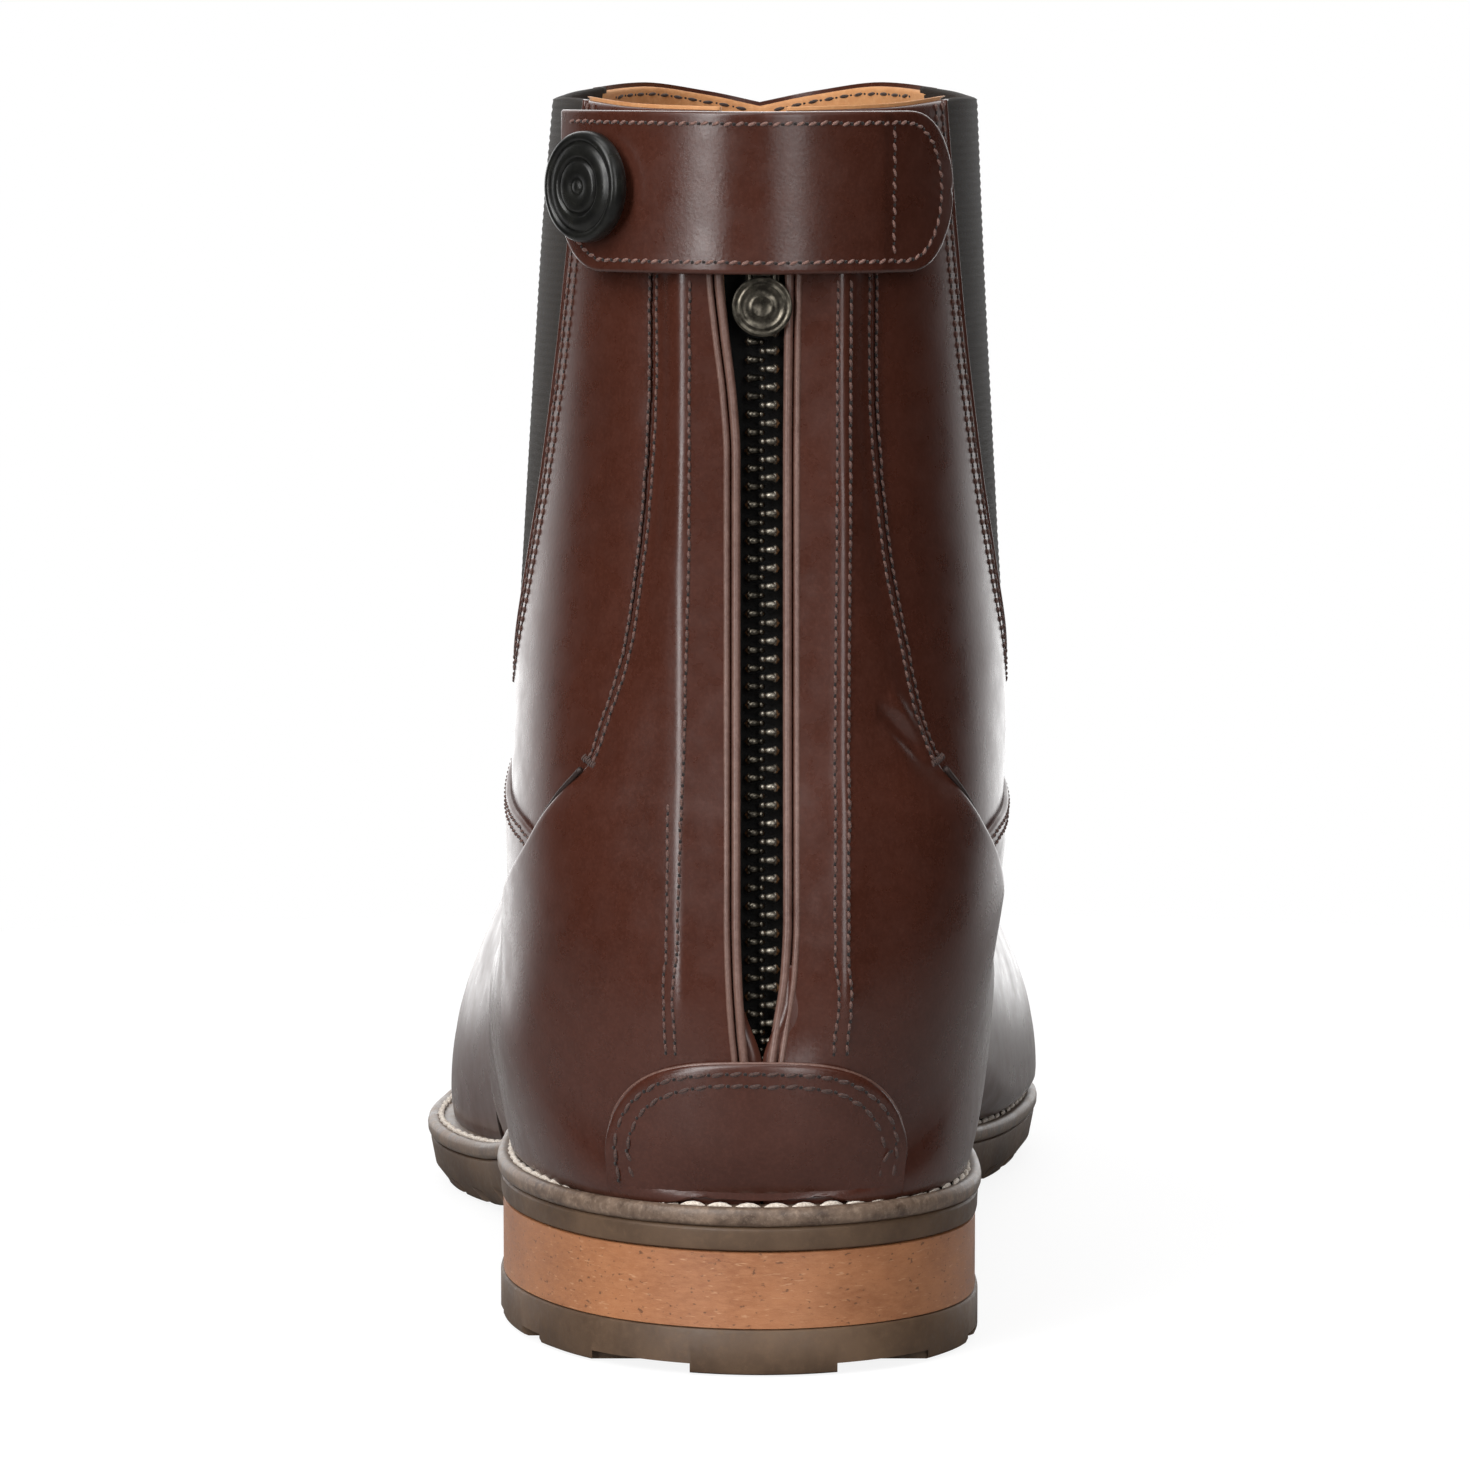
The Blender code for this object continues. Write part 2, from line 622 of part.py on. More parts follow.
def boxes(name, rows, collection):
    """One cutter of separate boxes: centre, size and turn about Z of each."""
    work = bmesh.new()
    for centre, size, turn in rows:
        place = (Matrix.Translation(to_metres(np.array(centre)).tolist())
                 @ Matrix.Rotation(math.radians(turn), 4, "Z")
                 @ Matrix.Diagonal([value * MM for value in size] + [1]))
        bmesh.ops.create_cube(work, size=1.0, matrix=place)
    mesh = bpy.data.meshes.new(name)
    work.to_mesh(mesh)
    work.free()
    return make_cutter(add_object(name, mesh, collection))


def boolean(made, cutter, operation):
    cut = made.modifiers.new(cutter.name, "BOOLEAN")
    cut.operation = operation
    cut.solver = "EXACT"
    cut.object = cutter


# Sole

def spaced(start, end, count, round_end=True):
    """Stations that crowd towards the round back of an outline, and towards its front if that is round."""
    u = np.linspace(0, 1, count)
    if round_end:
        u = (1 - np.cos(math.pi * u)) / 2
    else:
        u = 1 - np.cos(math.pi / 2 * u)
    inset = 0.15
    return start + inset + (end - start - 2 * inset) * u


def lug_grooves():
    """Notches between the forefoot's edge lugs, and bars across its middle."""
    rows = []
    down = LUG_DEPTH - CUTTER_HEIGHT / 2
    length = LUG_REACH + CUTTER_OVERRUN
    for k in range(EDGE_NOTCHES):
        station = EDGE_NOTCH_START + LUG_PITCH * k
        for side in (-1, 1):
            edge = float(SOLE.x(station, side))
            middle = edge - side * (LUG_REACH - CUTTER_OVERRUN) / 2
            height = float(outsole_bottom(station, edge)) + down
            rows.append(((middle, station, height), (length, EDGE_NOTCH_WIDTH, CUTTER_HEIGHT), side * LUG_TURN))
    for k in range(BAR_GROOVES):
        station = BAR_GROOVE_START + LUG_PITCH * k
        left = float(SOLE.x(station, -1)) + length
        right = float(SOLE.x(station, 1)) - length
        height = float(outsole_bottom(station)) + down
        size = (max(right - left, CUTTER_HEIGHT), BAR_GROOVE_WIDTH, CUTTER_HEIGHT)
        rows.append((((left + right) / 2, station, height), size, 0))
    return rows


def heel_grooves():
    height = HEEL_LUG_DEPTH - CUTTER_HEIGHT / 2
    return [((x, station, height), (width, length, CUTTER_HEIGHT), 0)
            for x, station, width, length in HEEL_NOTCHES]


def breast_cutter(collection):
    """Round hollow of the heel's front face."""
    work = bmesh.new()
    centre = np.array([0.0, HEEL_BREAST + BREAST_HOLLOW_RADIUS - BREAST_HOLLOW, LIFT_TOP])
    bmesh.ops.create_cone(work, cap_ends=True, segments=96, radius1=BREAST_HOLLOW_RADIUS * MM,
                          radius2=BREAST_HOLLOW_RADIUS * MM, depth=3 * STACK_TOP * MM,
                          matrix=Matrix.Translation(to_metres(centre).tolist()))
    mesh = bpy.data.meshes.new("heel_breast")
    work.to_mesh(mesh)
    work.free()
    return make_cutter(add_object("heel_breast", mesh, collection))


def build_sole(parts, cutters):
    rubber = material("rubber", (0.075, 0.055, 0.040), 0.62)
    stacked = material("heel_board", (0.36, 0.15, 0.065), 0.58)
    welt_leather = material("welt_leather", (0.15, 0.10, 0.072), 0.5)
    board = material("insole_board", (0.42, 0.24, 0.12), 0.75)
    half_gap = GAP / 2

    outsole = plate("outsole", SOLE, spaced(SOLE.start, SOLE.end, 32), outsole_bottom,
                    lambda y, x: welt_top(y, x) - WELT_THICKNESS - half_gap, parts, rubber, OUTSOLE_TAPER)
    boolean(outsole, boxes("lug_grooves", lug_grooves(), cutters), "DIFFERENCE")

    rim = Outline(-0.4, -0.4)
    welt = plate("welt", rim, spaced(rim.start, rim.end, 30),
                 lambda y, x: welt_top(y, x) - WELT_THICKNESS + half_gap, welt_top, parts, welt_leather)
    inner = Outline(FEATHER_HEEL + WALL + 0.2, FEATHER_FORE + WALL + 0.2)
    hole = plate("welt_hole", inner, spaced(inner.start, inner.end, 30),
                 lambda y, x: welt_top(y, x) - 12, lambda y, x: welt_top(y, x) + 12, cutters, None)
    boolean(welt, make_cutter(hole), "DIFFERENCE")

    lining = Outline(FEATHER_HEEL + WALL + 2 * GAP, FEATHER_FORE + WALL + 2 * GAP)
    plate("insole", lining, spaced(lining.start, lining.end, 28),
          lambda y, x: welt_top(y, x) - WELT_THICKNESS + GAP,
          lambda y, x: welt_top(y, x) + INSOLE_PROUD, parts, board)

    breast = breast_cutter(cutters)
    heel_outline = Outline(0.5, 0.5)
    heel = spaced(heel_outline.start, HEEL_BREAST, 16, round_end=False)
    stack = plate("heel_stack", heel_outline, heel, lambda y, x: LIFT_TOP + half_gap,
                  lambda y, x: STACK_TOP - half_gap, parts, stacked)
    boolean(stack, breast, "DIFFERENCE")
    lift_outline = Outline(0.1, 0.1)
    lift = plate("heel_lift", lift_outline, spaced(lift_outline.start, HEEL_BREAST, 16, round_end=False),
                 lambda y, x: 0.0, lambda y, x: LIFT_TOP - half_gap, parts, rubber)
    boolean(lift, breast, "DIFFERENCE")
    boolean(lift, boxes("heel_grooves", heel_grooves(), cutters), "DIFFERENCE")


# Upper and what is sewn to it

def gore_outline(shrink):
    """Rounded V of a gore from the side: station and height, open past the collar."""
    top = BACK_TOP + 20
    left = []
    for u in np.linspace(0, 1, 12) ** 1.6:
        height = GORE_TIP + (BACK_TOP - GORE_TIP) * u
        left.append((GORE_CENTRE - GORE_HALF_WIDTH * u ** GORE_ROUNDNESS + shrink, height + shrink))
    left[0] = (GORE_CENTRE - 0.2, GORE_TIP + shrink)
    left.append((GORE_CENTRE - GORE_HALF_WIDTH - 2 + shrink, top))
    return np.array(left + [(2 * GORE_CENTRE - y, z) for y, z in reversed(left)])


def build_upper(parts, cutters):
    leather = material("leather", (0.062, 0.024, 0.017), 0.42)
    elastic = material("elastic", (0.045, 0.042, 0.038), 0.85)
    foot_rows = np.linspace(0, 1, 29)[:-1]
    welded = np.linspace(1, 1 + (SLIT_BOTTOM - HEEL_SEAT) / (BACK_TOP - HEEL_SEAT), 4)[:-1]
    shaft_rows = np.linspace(welded[-1] + (welded[1] - welded[0]), 2, 15)
    sections = np.concatenate([foot_rows, welded, shaft_rows])
    even = np.linspace(-1, 1, 25)
    places = np.sign(even) * (1 - (1 - np.abs(even)) ** 1.25)
    s, t = np.meshgrid(sections, places, indexing="ij")
    upper = shell("upper", upper_surface(s, t), -WALL, parts, leather)

    for side, name in ((-1, "lateral"), (1, "medial")):
        span = sorted((side * 12.0, side * 60.0))
        window = prism("window_" + name, gore_outline(0.0), 0, span, cutters)
        boolean(upper, window, "DIFFERENCE")
        s, t = np.meshgrid(np.linspace(1.1, 2, 15), side * np.linspace(0.28, 0.82, 10)[::side], indexing="ij")
        gore = layer_shell("gore_" + name, s, t, GORE_LAYER, parts, elastic)
        boolean(gore, prism("gore_cut_" + name, gore_outline(GAP), 0, span, cutters), "INTERSECT")
    return leather


def quarter_edge(side):
    """Outer edge of a back quarter as a table of section and place around it."""
    column = 1 if side < 0 else 2
    seen_behind = [(row[column], row[0]) for row in QUARTER_EDGE]
    seen_beside = [(row[1], row[0]) for row in QUARTER_SIDE_EDGE]
    behind = find_on_upper(side, (0, 2), seen_behind, (1.0, 2.0), (0.5, 1.0))
    beside = find_on_upper(side, (1, 2), seen_beside, (0.4, 1.6), (0.4, 1.0))
    sole = math.acos(2 * (QUARTER_SOLE_STATION - FEATHER.start) / (FEATHER.end - FEATHER.start) - 1) / math.pi
    places = np.vstack([[(2.0, behind[0, 1])], behind, beside, [(sole, side)]])
    line = open_spline(upper_surface(places[:, 0], places[:, 1]), 60)
    return sorted((s, abs(t)) for s, t in nearest_on_upper(side, line))


def build_quarters(parts, leather):
    for side, name in ((-1, "lateral"), (1, "medial")):
        edge = quarter_edge(side)
        crowd = 1 - (1 - np.linspace(0, 1, 9)) ** 1.3
        low = edge[0][0] + QUARTER_TIP
        sections = np.concatenate([np.linspace(low, 1, 15)[:-1], np.linspace(1, 1.97, 13)])
        rows = []
        for section in sections:
            outer = float(np.interp(section, [row[0] for row in edge], [row[1] for row in edge]))
            bare = FLAP_HALF_WIDTH * float(ease(SLIT_BOTTOM - 12, SLIT_BOTTOM + 4, back_height(section)))
            inner = t_at_rise(section, side, OVERLAY_RISE)
            if section >= 1:
                inner = min(inner, abs(t_at_x(section, side * max(bare, GAP))))
            outer = min(outer, inner - 0.02)
            rows.append(outer + (inner - outer) * crowd)
        t = side * np.array(rows)[:, ::side]
        s = np.repeat(sections[:, None], t.shape[1], axis=1)
        layer_shell("quarter_" + name, s, t, QUARTER_LAYER, parts, leather)


def build_counter(parts, leather):
    """D-shaped patch under the zip, over both quarters."""
    across = np.linspace(1, -1, 15) * COUNTER_HALF_WIDTH * 0.985
    rows = []
    for x in across:
        low = HEEL_SEAT + OVERLAY_RISE
        reach = (1 - abs(x / COUNTER_HALF_WIDTH) ** COUNTER_SQUARENESS) ** (1 / COUNTER_SQUARENESS)
        heights = np.linspace(low, low + (COUNTER_TOP - low) * reach, 6)
        side = -1 if x < 0 else 1
        wanted = [(x if abs(x) > 0.05 else 0.05, z) for z in heights]
        place = find_on_upper(side, (0, 2), wanted, (0.8, 1.5), (0.6, 1.0))
        rows.append(over_upper(place[:, 0], place[:, 1], np.full(len(place), COUNTER_LAYER[0])))
    grid = np.array(rows).transpose(1, 0, 2)
    shell("heel_counter", grid, COUNTER_LAYER[1] - COUNTER_LAYER[0], parts, leather)


def build_strap(parts, leather):
    """Strap round the back of the collar, raised a little over the slider."""
    reference = s_at_height(-0.9, SNAP_HEIGHT)
    ends = [t_at_x(reference, x) for x in STRAP_ENDS]
    places = np.concatenate([np.linspace(ends[0], -1, 11), np.linspace(1, ends[1], 11)])
    columns = []
    for t in places:
        run = abs(float(upper_surface(reference, t)[0]))
        to_end = (abs(t) - abs(ends[0 if t < 0 else 1])) * 75.0
        cut = max(STRAP_CORNER - to_end, 0.0)
        corner = STRAP_CORNER - math.sqrt(max(STRAP_CORNER ** 2 - cut ** 2, 0.0))
        heights = np.linspace(STRAP_BOTTOM + corner, BACK_TOP - 0.2 - corner * (t > 0), 5)
        s = np.array([s_at_height(t, z) for z in heights])
        lift = STRAP_LAYER[0] + STRAP_RISE * math.exp(-(run / STRAP_RISE_WIDTH) ** 2)
        columns.append(over_upper(s, np.full(len(s), t), np.full(len(s), lift)))
    grid = np.array(columns[::-1]).transpose(1, 0, 2)
    return shell("strap", grid, STRAP_LAYER[1] - STRAP_LAYER[0], parts, leather)


def facing(point, outward_direction):
    """Frame at a point in millimetres with its Z along a direction and its X level."""
    z = np.array(outward_direction) / np.linalg.norm(outward_direction)
    x = np.cross(np.array([0.0, 0.0, 1.0]), z)
    x = x / np.linalg.norm(x)
    y = np.cross(z, x)
    frame = Matrix.Identity(4)
    for row in range(3):
        frame[row][0], frame[row][1], frame[row][2] = x[row], y[row], z[row]
    frame.translation = to_metres(point).tolist()
    return frame


def build_snap(parts):
    """Domed cap of the snap: a turned profile on the strap's outer end."""
    black = material("black_metal", (0.012, 0.012, 0.013), 0.32, 1.0)
    section = s_at_height(-0.85, SNAP_HEIGHT)
    t = t_at_x(section, SNAP_X)
    normal = upper_normal(np.array(section), np.array(t))
    base = over_upper(np.array(section), np.array(t), STRAP_LAYER[1] + GAP)
    work = bmesh.new()
    verts = [work.verts.new((r * SNAP_RADIUS * MM, 0, h * SNAP_THICKNESS * MM)) for r, h in SNAP_PROFILE]
    for a, b in zip(verts, verts[1:]):
        work.edges.new((a, b))
    mesh = bpy.data.meshes.new("snap_cap")
    work.to_mesh(mesh)
    work.free()
    cap = add_object("snap_cap", mesh, parts, black)
    cap.matrix_world = facing(base, normal)
    turn = cap.modifiers.new("turn", "SCREW")
    turn.steps = 28
    turn.render_steps = 28
    turn.use_merge_vertices = True
    turn.merge_threshold = WELD


# Zip

def back_line(height):
    """Middle of the back at a height, and the way out from it."""
    section = s_at_height(1.0, height)
    left = over_upper(np.array(section), np.array(-1.0), 0.0)
    right = over_upper(np.array(section), np.array(1.0), 0.0)
    normal = upper_normal(np.array(section), np.array(-1.0)) + upper_normal(np.array(section), np.array(1.0))
    normal[0] = 0.0
    return (left + right) / 2, normal / np.linalg.norm(normal)


def build_zip_strips(parts):
    cloth = material("zip_tape_cloth", (0.012, 0.011, 0.011), 0.9)
    metal = material("antique_metal", (0.11, 0.10, 0.085), 0.42, 1.0)
    rows = []
    for height in np.linspace(*TAPE_SPAN, 14):
        section = s_at_height(1.0, height)
        far = abs(t_at_x(section, TAPE_HALF_WIDTH))
        places = np.array([far, (far + 1) / 2, 1.0, -1.0, -(far + 1) / 2, -far])
        rows.append(over_upper(np.full(6, section), places, np.full(6, TAPE_LAYER[0])))
    shell("zip_tape", np.array(rows), TAPE_LAYER[1] - TAPE_LAYER[0], parts, cloth)

    rings = []
    near, far = CHAIN_LAYER
    for height in np.linspace(*CHAIN_SPAN, 14):
        middle, out = back_line(height)
        ring = [(-CHAIN_HALF_WIDTH, far), (-CHAIN_HALF_WIDTH, near - 0.5), (-0.8, near), (0.8, near),
                (CHAIN_HALF_WIDTH, near - 0.5), (CHAIN_HALF_WIDTH, far)]
        rings.append([middle + out * lift + np.array([x, 0.0, 0.0]) for x, lift in ring])
    add_object("zip_chain", outward(mesh_from_rings("zip_chain", rings, True, True)), parts, metal)
    return metal


def flat_solid(name, outlines, thickness, collection, frame):
    """Extruded flat outline with any holes, made solid from a filled 2D curve."""
    curve = bpy.data.curves.new(name, "CURVE")
    curve.dimensions = "2D"
    curve.fill_mode = "BOTH"
    curve.extrude = thickness / 2 * MM
    for outline in outlines:
        spline = curve.splines.new("POLY")
        spline.points.add(len(outline) - 1)
        for point, (x, y) in zip(spline.points, outline):
            point.co = (x * MM, y * MM, 0.0, 1.0)
        spline.use_cyclic_u = True
    drawn = bpy.data.objects.new(name + "_curve", curve)
    bpy.context.scene.collection.objects.link(drawn)
    evaluated = drawn.evaluated_get(bpy.context.evaluated_depsgraph_get())
    mesh = bpy.data.meshes.new_from_object(evaluated)
    bpy.data.objects.remove(drawn, do_unlink=True)
    mesh.name = name
    work = bmesh.new()
    work.from_mesh(mesh)
    bmesh.ops.remove_doubles(work, verts=work.verts, dist=WELD)
    bmesh.ops.recalc_face_normals(work, faces=work.faces)
    work.to_mesh(mesh)
    work.free()
    made = add_object(name, mesh, collection)
    made.matrix_world = frame
    return made


def arc(centre, radius, start, end, count):
    angles = np.radians(np.linspace(start, end, count))
    return [(centre[0] + radius * math.cos(a), centre[1] + radius * math.sin(a)) for a in angles]


def build_slider_and_pull(parts, cutters, metal):
    """The slider's bridge goes over the pull's cross bar, which is the hinge."""
    middle, out = back_line(PIVOT_HEIGHT)
    pivot = facing(middle + out * PIVOT_LIFT, out)

    disc_centre = (0.0, WINDOW_BOTTOM - PULL_RADIUS + 0.05)
    neck_angle = math.degrees(math.acos(NECK_HALF_WIDTH / PULL_RADIUS))
    disc = arc(disc_centre, PULL_RADIUS, 180 - neck_angle, 360 + neck_angle, 29)
    head = [(NECK_HALF_WIDTH, BAR_HALF), (-NECK_HALF_WIDTH, BAR_HALF)]
    window = [(-WINDOW_HALF_WIDTH, WINDOW_BOTTOM), (-WINDOW_HALF_WIDTH, -BAR_HALF),
              (WINDOW_HALF_WIDTH, -BAR_HALF), (WINDOW_HALF_WIDTH, WINDOW_BOTTOM)]
    pull = flat_solid("zip_pull", [disc + head, window], PULL_THICKNESS, parts, pivot)
    pull.data.materials.append(metal)

    side_view = pivot @ Matrix.Rotation(math.radians(-90), 4, "Y")
    low, high = SLIDER_SPAN
    body = [(SLIDER_BACK, low), (SLIDER_FACE, low), (SLIDER_FACE, high), (SLIDER_BACK, high)]
    slider = flat_solid("zip_slider", [body], SLIDER_WIDTH, parts, side_view)
    slider.data.materials.append(metal)
    foot = SLIDER_FACE - 0.4
    bridge = ([(foot, -BRIDGE_OUTER)] + arc((0, 0), BRIDGE_OUTER, -90, 90, 9) + [(foot, BRIDGE_OUTER)]
              + [(foot, BRIDGE_INNER)] + arc((0, 0), BRIDGE_INNER, 90, -90, 9) + [(foot, -BRIDGE_INNER)])
    loop = make_cutter(flat_solid("slider_bridge", [bridge], BRIDGE_WIDTH, cutters, side_view))
    boolean(slider, loop, "UNION")


def main():
    clear_scene()
    parts = new_collection(OBJECT)
    cutters = new_collection("cutters")
    build_sole(parts, cutters)
    leather = build_upper(parts, cutters)
    build_quarters(parts, leather)
    build_counter(parts, leather)
    build_strap(parts, leather)
    build_snap(parts)
    metal = build_zip_strips(parts)
    build_slider_and_pull(parts, cutters, metal)
    bpy.context.view_layer.update()


main()
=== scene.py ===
"""Looks of the jodhpur boot: leather, lining, elastic, zip, stitches and sole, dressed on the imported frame.

Sizes are millimetres until a mesh is made. X runs from the lateral to the medial side, Y from the
heel to the toe and Z up. A station is a distance ahead of the heel's back edge. The upper's surface is
the one that the CAD part was made from, so every piece lies where the part does.
"""
import math

import bmesh
import bpy
import numpy as np
from mathutils import Matrix, Vector


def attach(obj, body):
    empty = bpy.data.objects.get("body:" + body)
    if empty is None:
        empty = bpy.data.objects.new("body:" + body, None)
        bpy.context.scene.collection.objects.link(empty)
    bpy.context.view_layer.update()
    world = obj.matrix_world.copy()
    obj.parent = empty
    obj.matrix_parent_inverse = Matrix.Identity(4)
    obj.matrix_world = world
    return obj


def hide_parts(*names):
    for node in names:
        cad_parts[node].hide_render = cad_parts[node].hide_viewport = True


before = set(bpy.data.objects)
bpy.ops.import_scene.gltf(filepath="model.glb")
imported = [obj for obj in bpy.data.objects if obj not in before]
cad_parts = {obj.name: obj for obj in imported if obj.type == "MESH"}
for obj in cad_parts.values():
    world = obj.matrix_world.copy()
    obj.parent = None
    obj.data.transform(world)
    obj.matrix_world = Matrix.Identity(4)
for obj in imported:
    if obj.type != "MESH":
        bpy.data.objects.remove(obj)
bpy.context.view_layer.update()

MM = 0.001
SIDES = ((-1, "lateral"), (1, "medial"))
ORIGIN_STATION = 36.0
GAP = 0.3                 # clearance between neighbouring pieces
WELD = 0.00005            # metres
TUBE_TURN = np.array([0.31, 0.87, 0.38])   # a way that no tube runs along
PROBE = 0.002             # step in s and t for ways along the upper's surface
LEAST_PACE = 20.0         # least length round the upper for one whole t
NEWTON_SHARE = 0.7        # part of each correction that a search on the surface takes

# Driving dimensions of the sole
SOLE_LENGTH = 288.0
TOE_TIP_X = 4.0
WELT_THICKNESS = 2.8
HEEL_BREAST = 72.0        # station of the heel's front face
INSET_SPAN = (60.0, 160.0)   # stations over which an inset goes from the heel's to the forefoot's
BREAST_HOLLOW_RADIUS = 95.0
LIFT_TOP = 6.7
STACK_TOP = 17.9
BREAST_HOLLOW = 4.0
OUTSOLE_TAPER = 2.6       # how much narrower the forefoot's underside is on each side
TREAD_SLANT = 0.22        # how far the tread line runs forward for each mm to the medial side
TREAD_SLANT_SPAN = (70.0, 150.0)
TREAD_SLANT_END = 250.0
LUG_DEPTH = 2.4
LUG_PITCH = 13.5
LUG_REACH = 17.0          # how far the notches between edge lugs reach in
LUG_TURN = 12.0           # degrees
EDGE_NOTCHES = 10
EDGE_NOTCH_START = 136.0
EDGE_NOTCH_WIDTH = 4.2
BAR_GROOVES = 9
BAR_GROOVE_START = 143.0
BAR_GROOVE_WIDTH = 3.6
CUTTER_HEIGHT = 12.0
CUTTER_OVERRUN = 6.0      # how far a groove's cutter runs out past the edge
HEEL_LUG_DEPTH = 1.5
INSOLE_PROUD = 2.0        # insole's top above the welt

# Driving dimensions of the upper
WALL = 2.0
FEATHER_HEEL = 4.0        # how far the upper stands in from the sole's edge
FEATHER_FORE = 5.0
BACK_TOP = 181.4          # collar height at the back
COLLAR_START = 150.0      # height over which the collar's edge takes its shape
SLIT_BOTTOM = 45.0
SLIT_WIDTH = 5.8
TOE_BOX_START = 233.0
TOE_BOX_SQUARENESS = 2.7
FOOT_TURN_IN = 62.0       # degrees a section turns in below its widest place, on the foot
HEEL_ROUND_SPAN = (8.0, 60.0)
TOP_SHARE = (0.32, 0.48)  # share of a section's places above its widest one, and how that follows it
SLIT_OPENING = 10.0       # height over which the slit opens to its full width
HOLD_STATION = 45.0       # behind this the upper's width no longer follows the sole
EASE_REACH = 0.10         # how far the turn from foot to shaft is eased, in sections
EASE_IN = (0.55, 0.85)
EASE_OUT = (1.15, 1.45)
EASE_TAPS = [(-2, 1 / 16), (-1, 4 / 16), (0, 6 / 16), (1, 4 / 16), (2, 1 / 16)]

# Layers over the upper: nearest and farthest distance from its outer face
QUARTER_LAYER = (0.8, 1.9)
COUNTER_LAYER = (2.3, 3.5)
STRAP_LAYER = (2.3, 4.1)
STRAP_RISE = 1.5          # extra height of the strap over the slider
STRAP_RISE_WIDTH = 8.0
STRAP_BOTTOM = 158.3
STRAP_ENDS = (-25.6, 25.2)
STRAP_CORNER = 8.0
COUNTER_HALF_WIDTH = 20.2
COUNTER_MIDDLE = -0.9
COUNTER_TOP = 45.5
COUNTER_SQUARENESS = 3.2
COUNTER_TUCK = 1.7        # how far the patch draws in towards the welt
COUNTER_TUCK_RISE = 7.0   # height over which it does
COUNTER_ROWS = (0.12, 1.5, 3.2)   # insets of its piped edge and its two rows of stitches
FLAP_EDGE = 1.5           # from the slit's folded lip to the quarter's edge
# Folded ridges along the slit: distance from the gap's edge, depth behind the face, radius
FLAP_RIDGES = [
    (0.75, 0.35, 0.66),
    (2.15, 0.25, 0.5),
]
FOLD_X = 10.8             # half width of the flat strip beside the zip
FOLD_RISE = (1.0, 0.9)    # how far its stitched fold stands out, lateral and medial
FOLD_TILT = (0.07, 0.1)   # slope of the flat strips to the lateral side, lateral and medial
FOLD_FADE = 4.0
FOLD_ROUNDING = 1.6       # half width over which the fold's edge is rounded
FOLD_RIDGE = (11.1, 0.1, 1.1)    # ridge under the medial stitches: x, height, half width
SHAFT_QUARTER_LIFT = 1.25 # height of a quarter over the upper above its plain edge
FOLD_SPAN = (42.0, 54.0)  # heights over which the fold grows
FEATHER_REACH = 7.0       # width over which a quarter's sewn edge is thinned
FEATHER_EDGE = 0.35

GORE_CENTRE = 59.0
GORE_TIP = 99.0
GORE_HALF_WIDTH = 29.0    # at the collar
GORE_ROUNDNESS = 0.4
GORE_LAYER = (-0.6, -2.0)

TAPE_LAYER = (-2.9, -3.7)
TAPE_HALF_WIDTH = 8.5
CHAIN_LAYER = (-0.5, -2.6)
CHAIN_SPAN = (56.5, 154.6)
TAPE_SPAN = (40.0, 178.5)
PIVOT_HEIGHT = 159.4
PIVOT_LIFT = 0.8
PULL_RADIUS = 4.35
PULL_THICKNESS = 0.9
SNAP_RADIUS = 7.8
SNAP_THICKNESS = 2.8
SNAP_X = -20.7
SNAP_HEIGHT = 170.3
SNAP_TURN = 1.5           # degrees the cap sits back towards the heel
SNAP_STAND = 0.7
SNAP_SEEN_RADIUS = SNAP_RADIUS + 0.25     # the dressed cap, a little larger than the solid
SNAP_SEEN_THICKNESS = SNAP_THICKNESS + 0.3
# Snap cap from its post to its middle: radius and height as shares
SNAP_PROFILE = [
    (0.0, -0.6), (0.6, -0.6), (0.6, -0.04), (0.95, 0.0), (0.99, 0.1), (1.0, 0.32), (0.99, 0.62), (0.95, 0.8),
    (0.89, 0.86), (0.84, 0.82), (0.81, 0.72), (0.78, 0.74), (0.75, 0.84), (0.57, 0.93), (0.54, 0.9),
    (0.51, 0.8), (0.48, 0.8), (0.45, 0.9), (0.42, 0.95), (0.2, 0.97), (0.17, 0.9), (0.12, 0.9), (0.09, 0.985),
    (0.0, 1.0),
]

# The pull, around the hinge under the slider's bridge
# One face of its disc from the middle to the rim: radius and height as shares
PULL_PROFILE = [
    (0.0, 0.62), (0.28, 0.66), (0.31, 0.85), (0.36, 0.85), (0.39, 0.6), (0.66, 0.55), (0.70, 0.92),
    (0.76, 0.95), (0.80, 0.6), (0.85, 0.6), (0.89, 1.0), (0.96, 1.0), (1.0, 0.7),
]
BOW_RISE = 0.045          # how far the middle of the loop's cross bar bows out
LOOP_RADIUS = 0.42
LOOP_SHOULDER = -0.5      # height at which the loop turns to its cross bar
LOOP_SINK = 0.9           # how far the loop's legs run down past the window, into the disc
NECK_HALF_WIDTH = 2.3
WINDOW_HALF_WIDTH = 1.3
WINDOW_BOTTOM = -1.6

# Camera and light, in metres, watts and photo pixels
PHOTO_WIDTH = 1470
CAMERA_FOCUS = 6652.0
CAMERA_PLACE = (-0.0039, -0.981, 0.180)
CAMERA_PITCH = 5.28
FLOOR_RADIUS = 420.0      # millimetres
FLOOR_DROP = 0.0002       # how far the floor lies under the sole
FLOOR_GLOW = 0.8
FLOOR_SHINE = 1.1
FLOOR_BOUNCE = (0.3, 0.295, 0.29)
ROOM_LIGHT = 0.015
BACKDROP_LIGHT = 2.6
BACKDROP_SPAN = (0.45, 0.95)
LIGHT_AIM = (0.0, 0.0, 0.1)
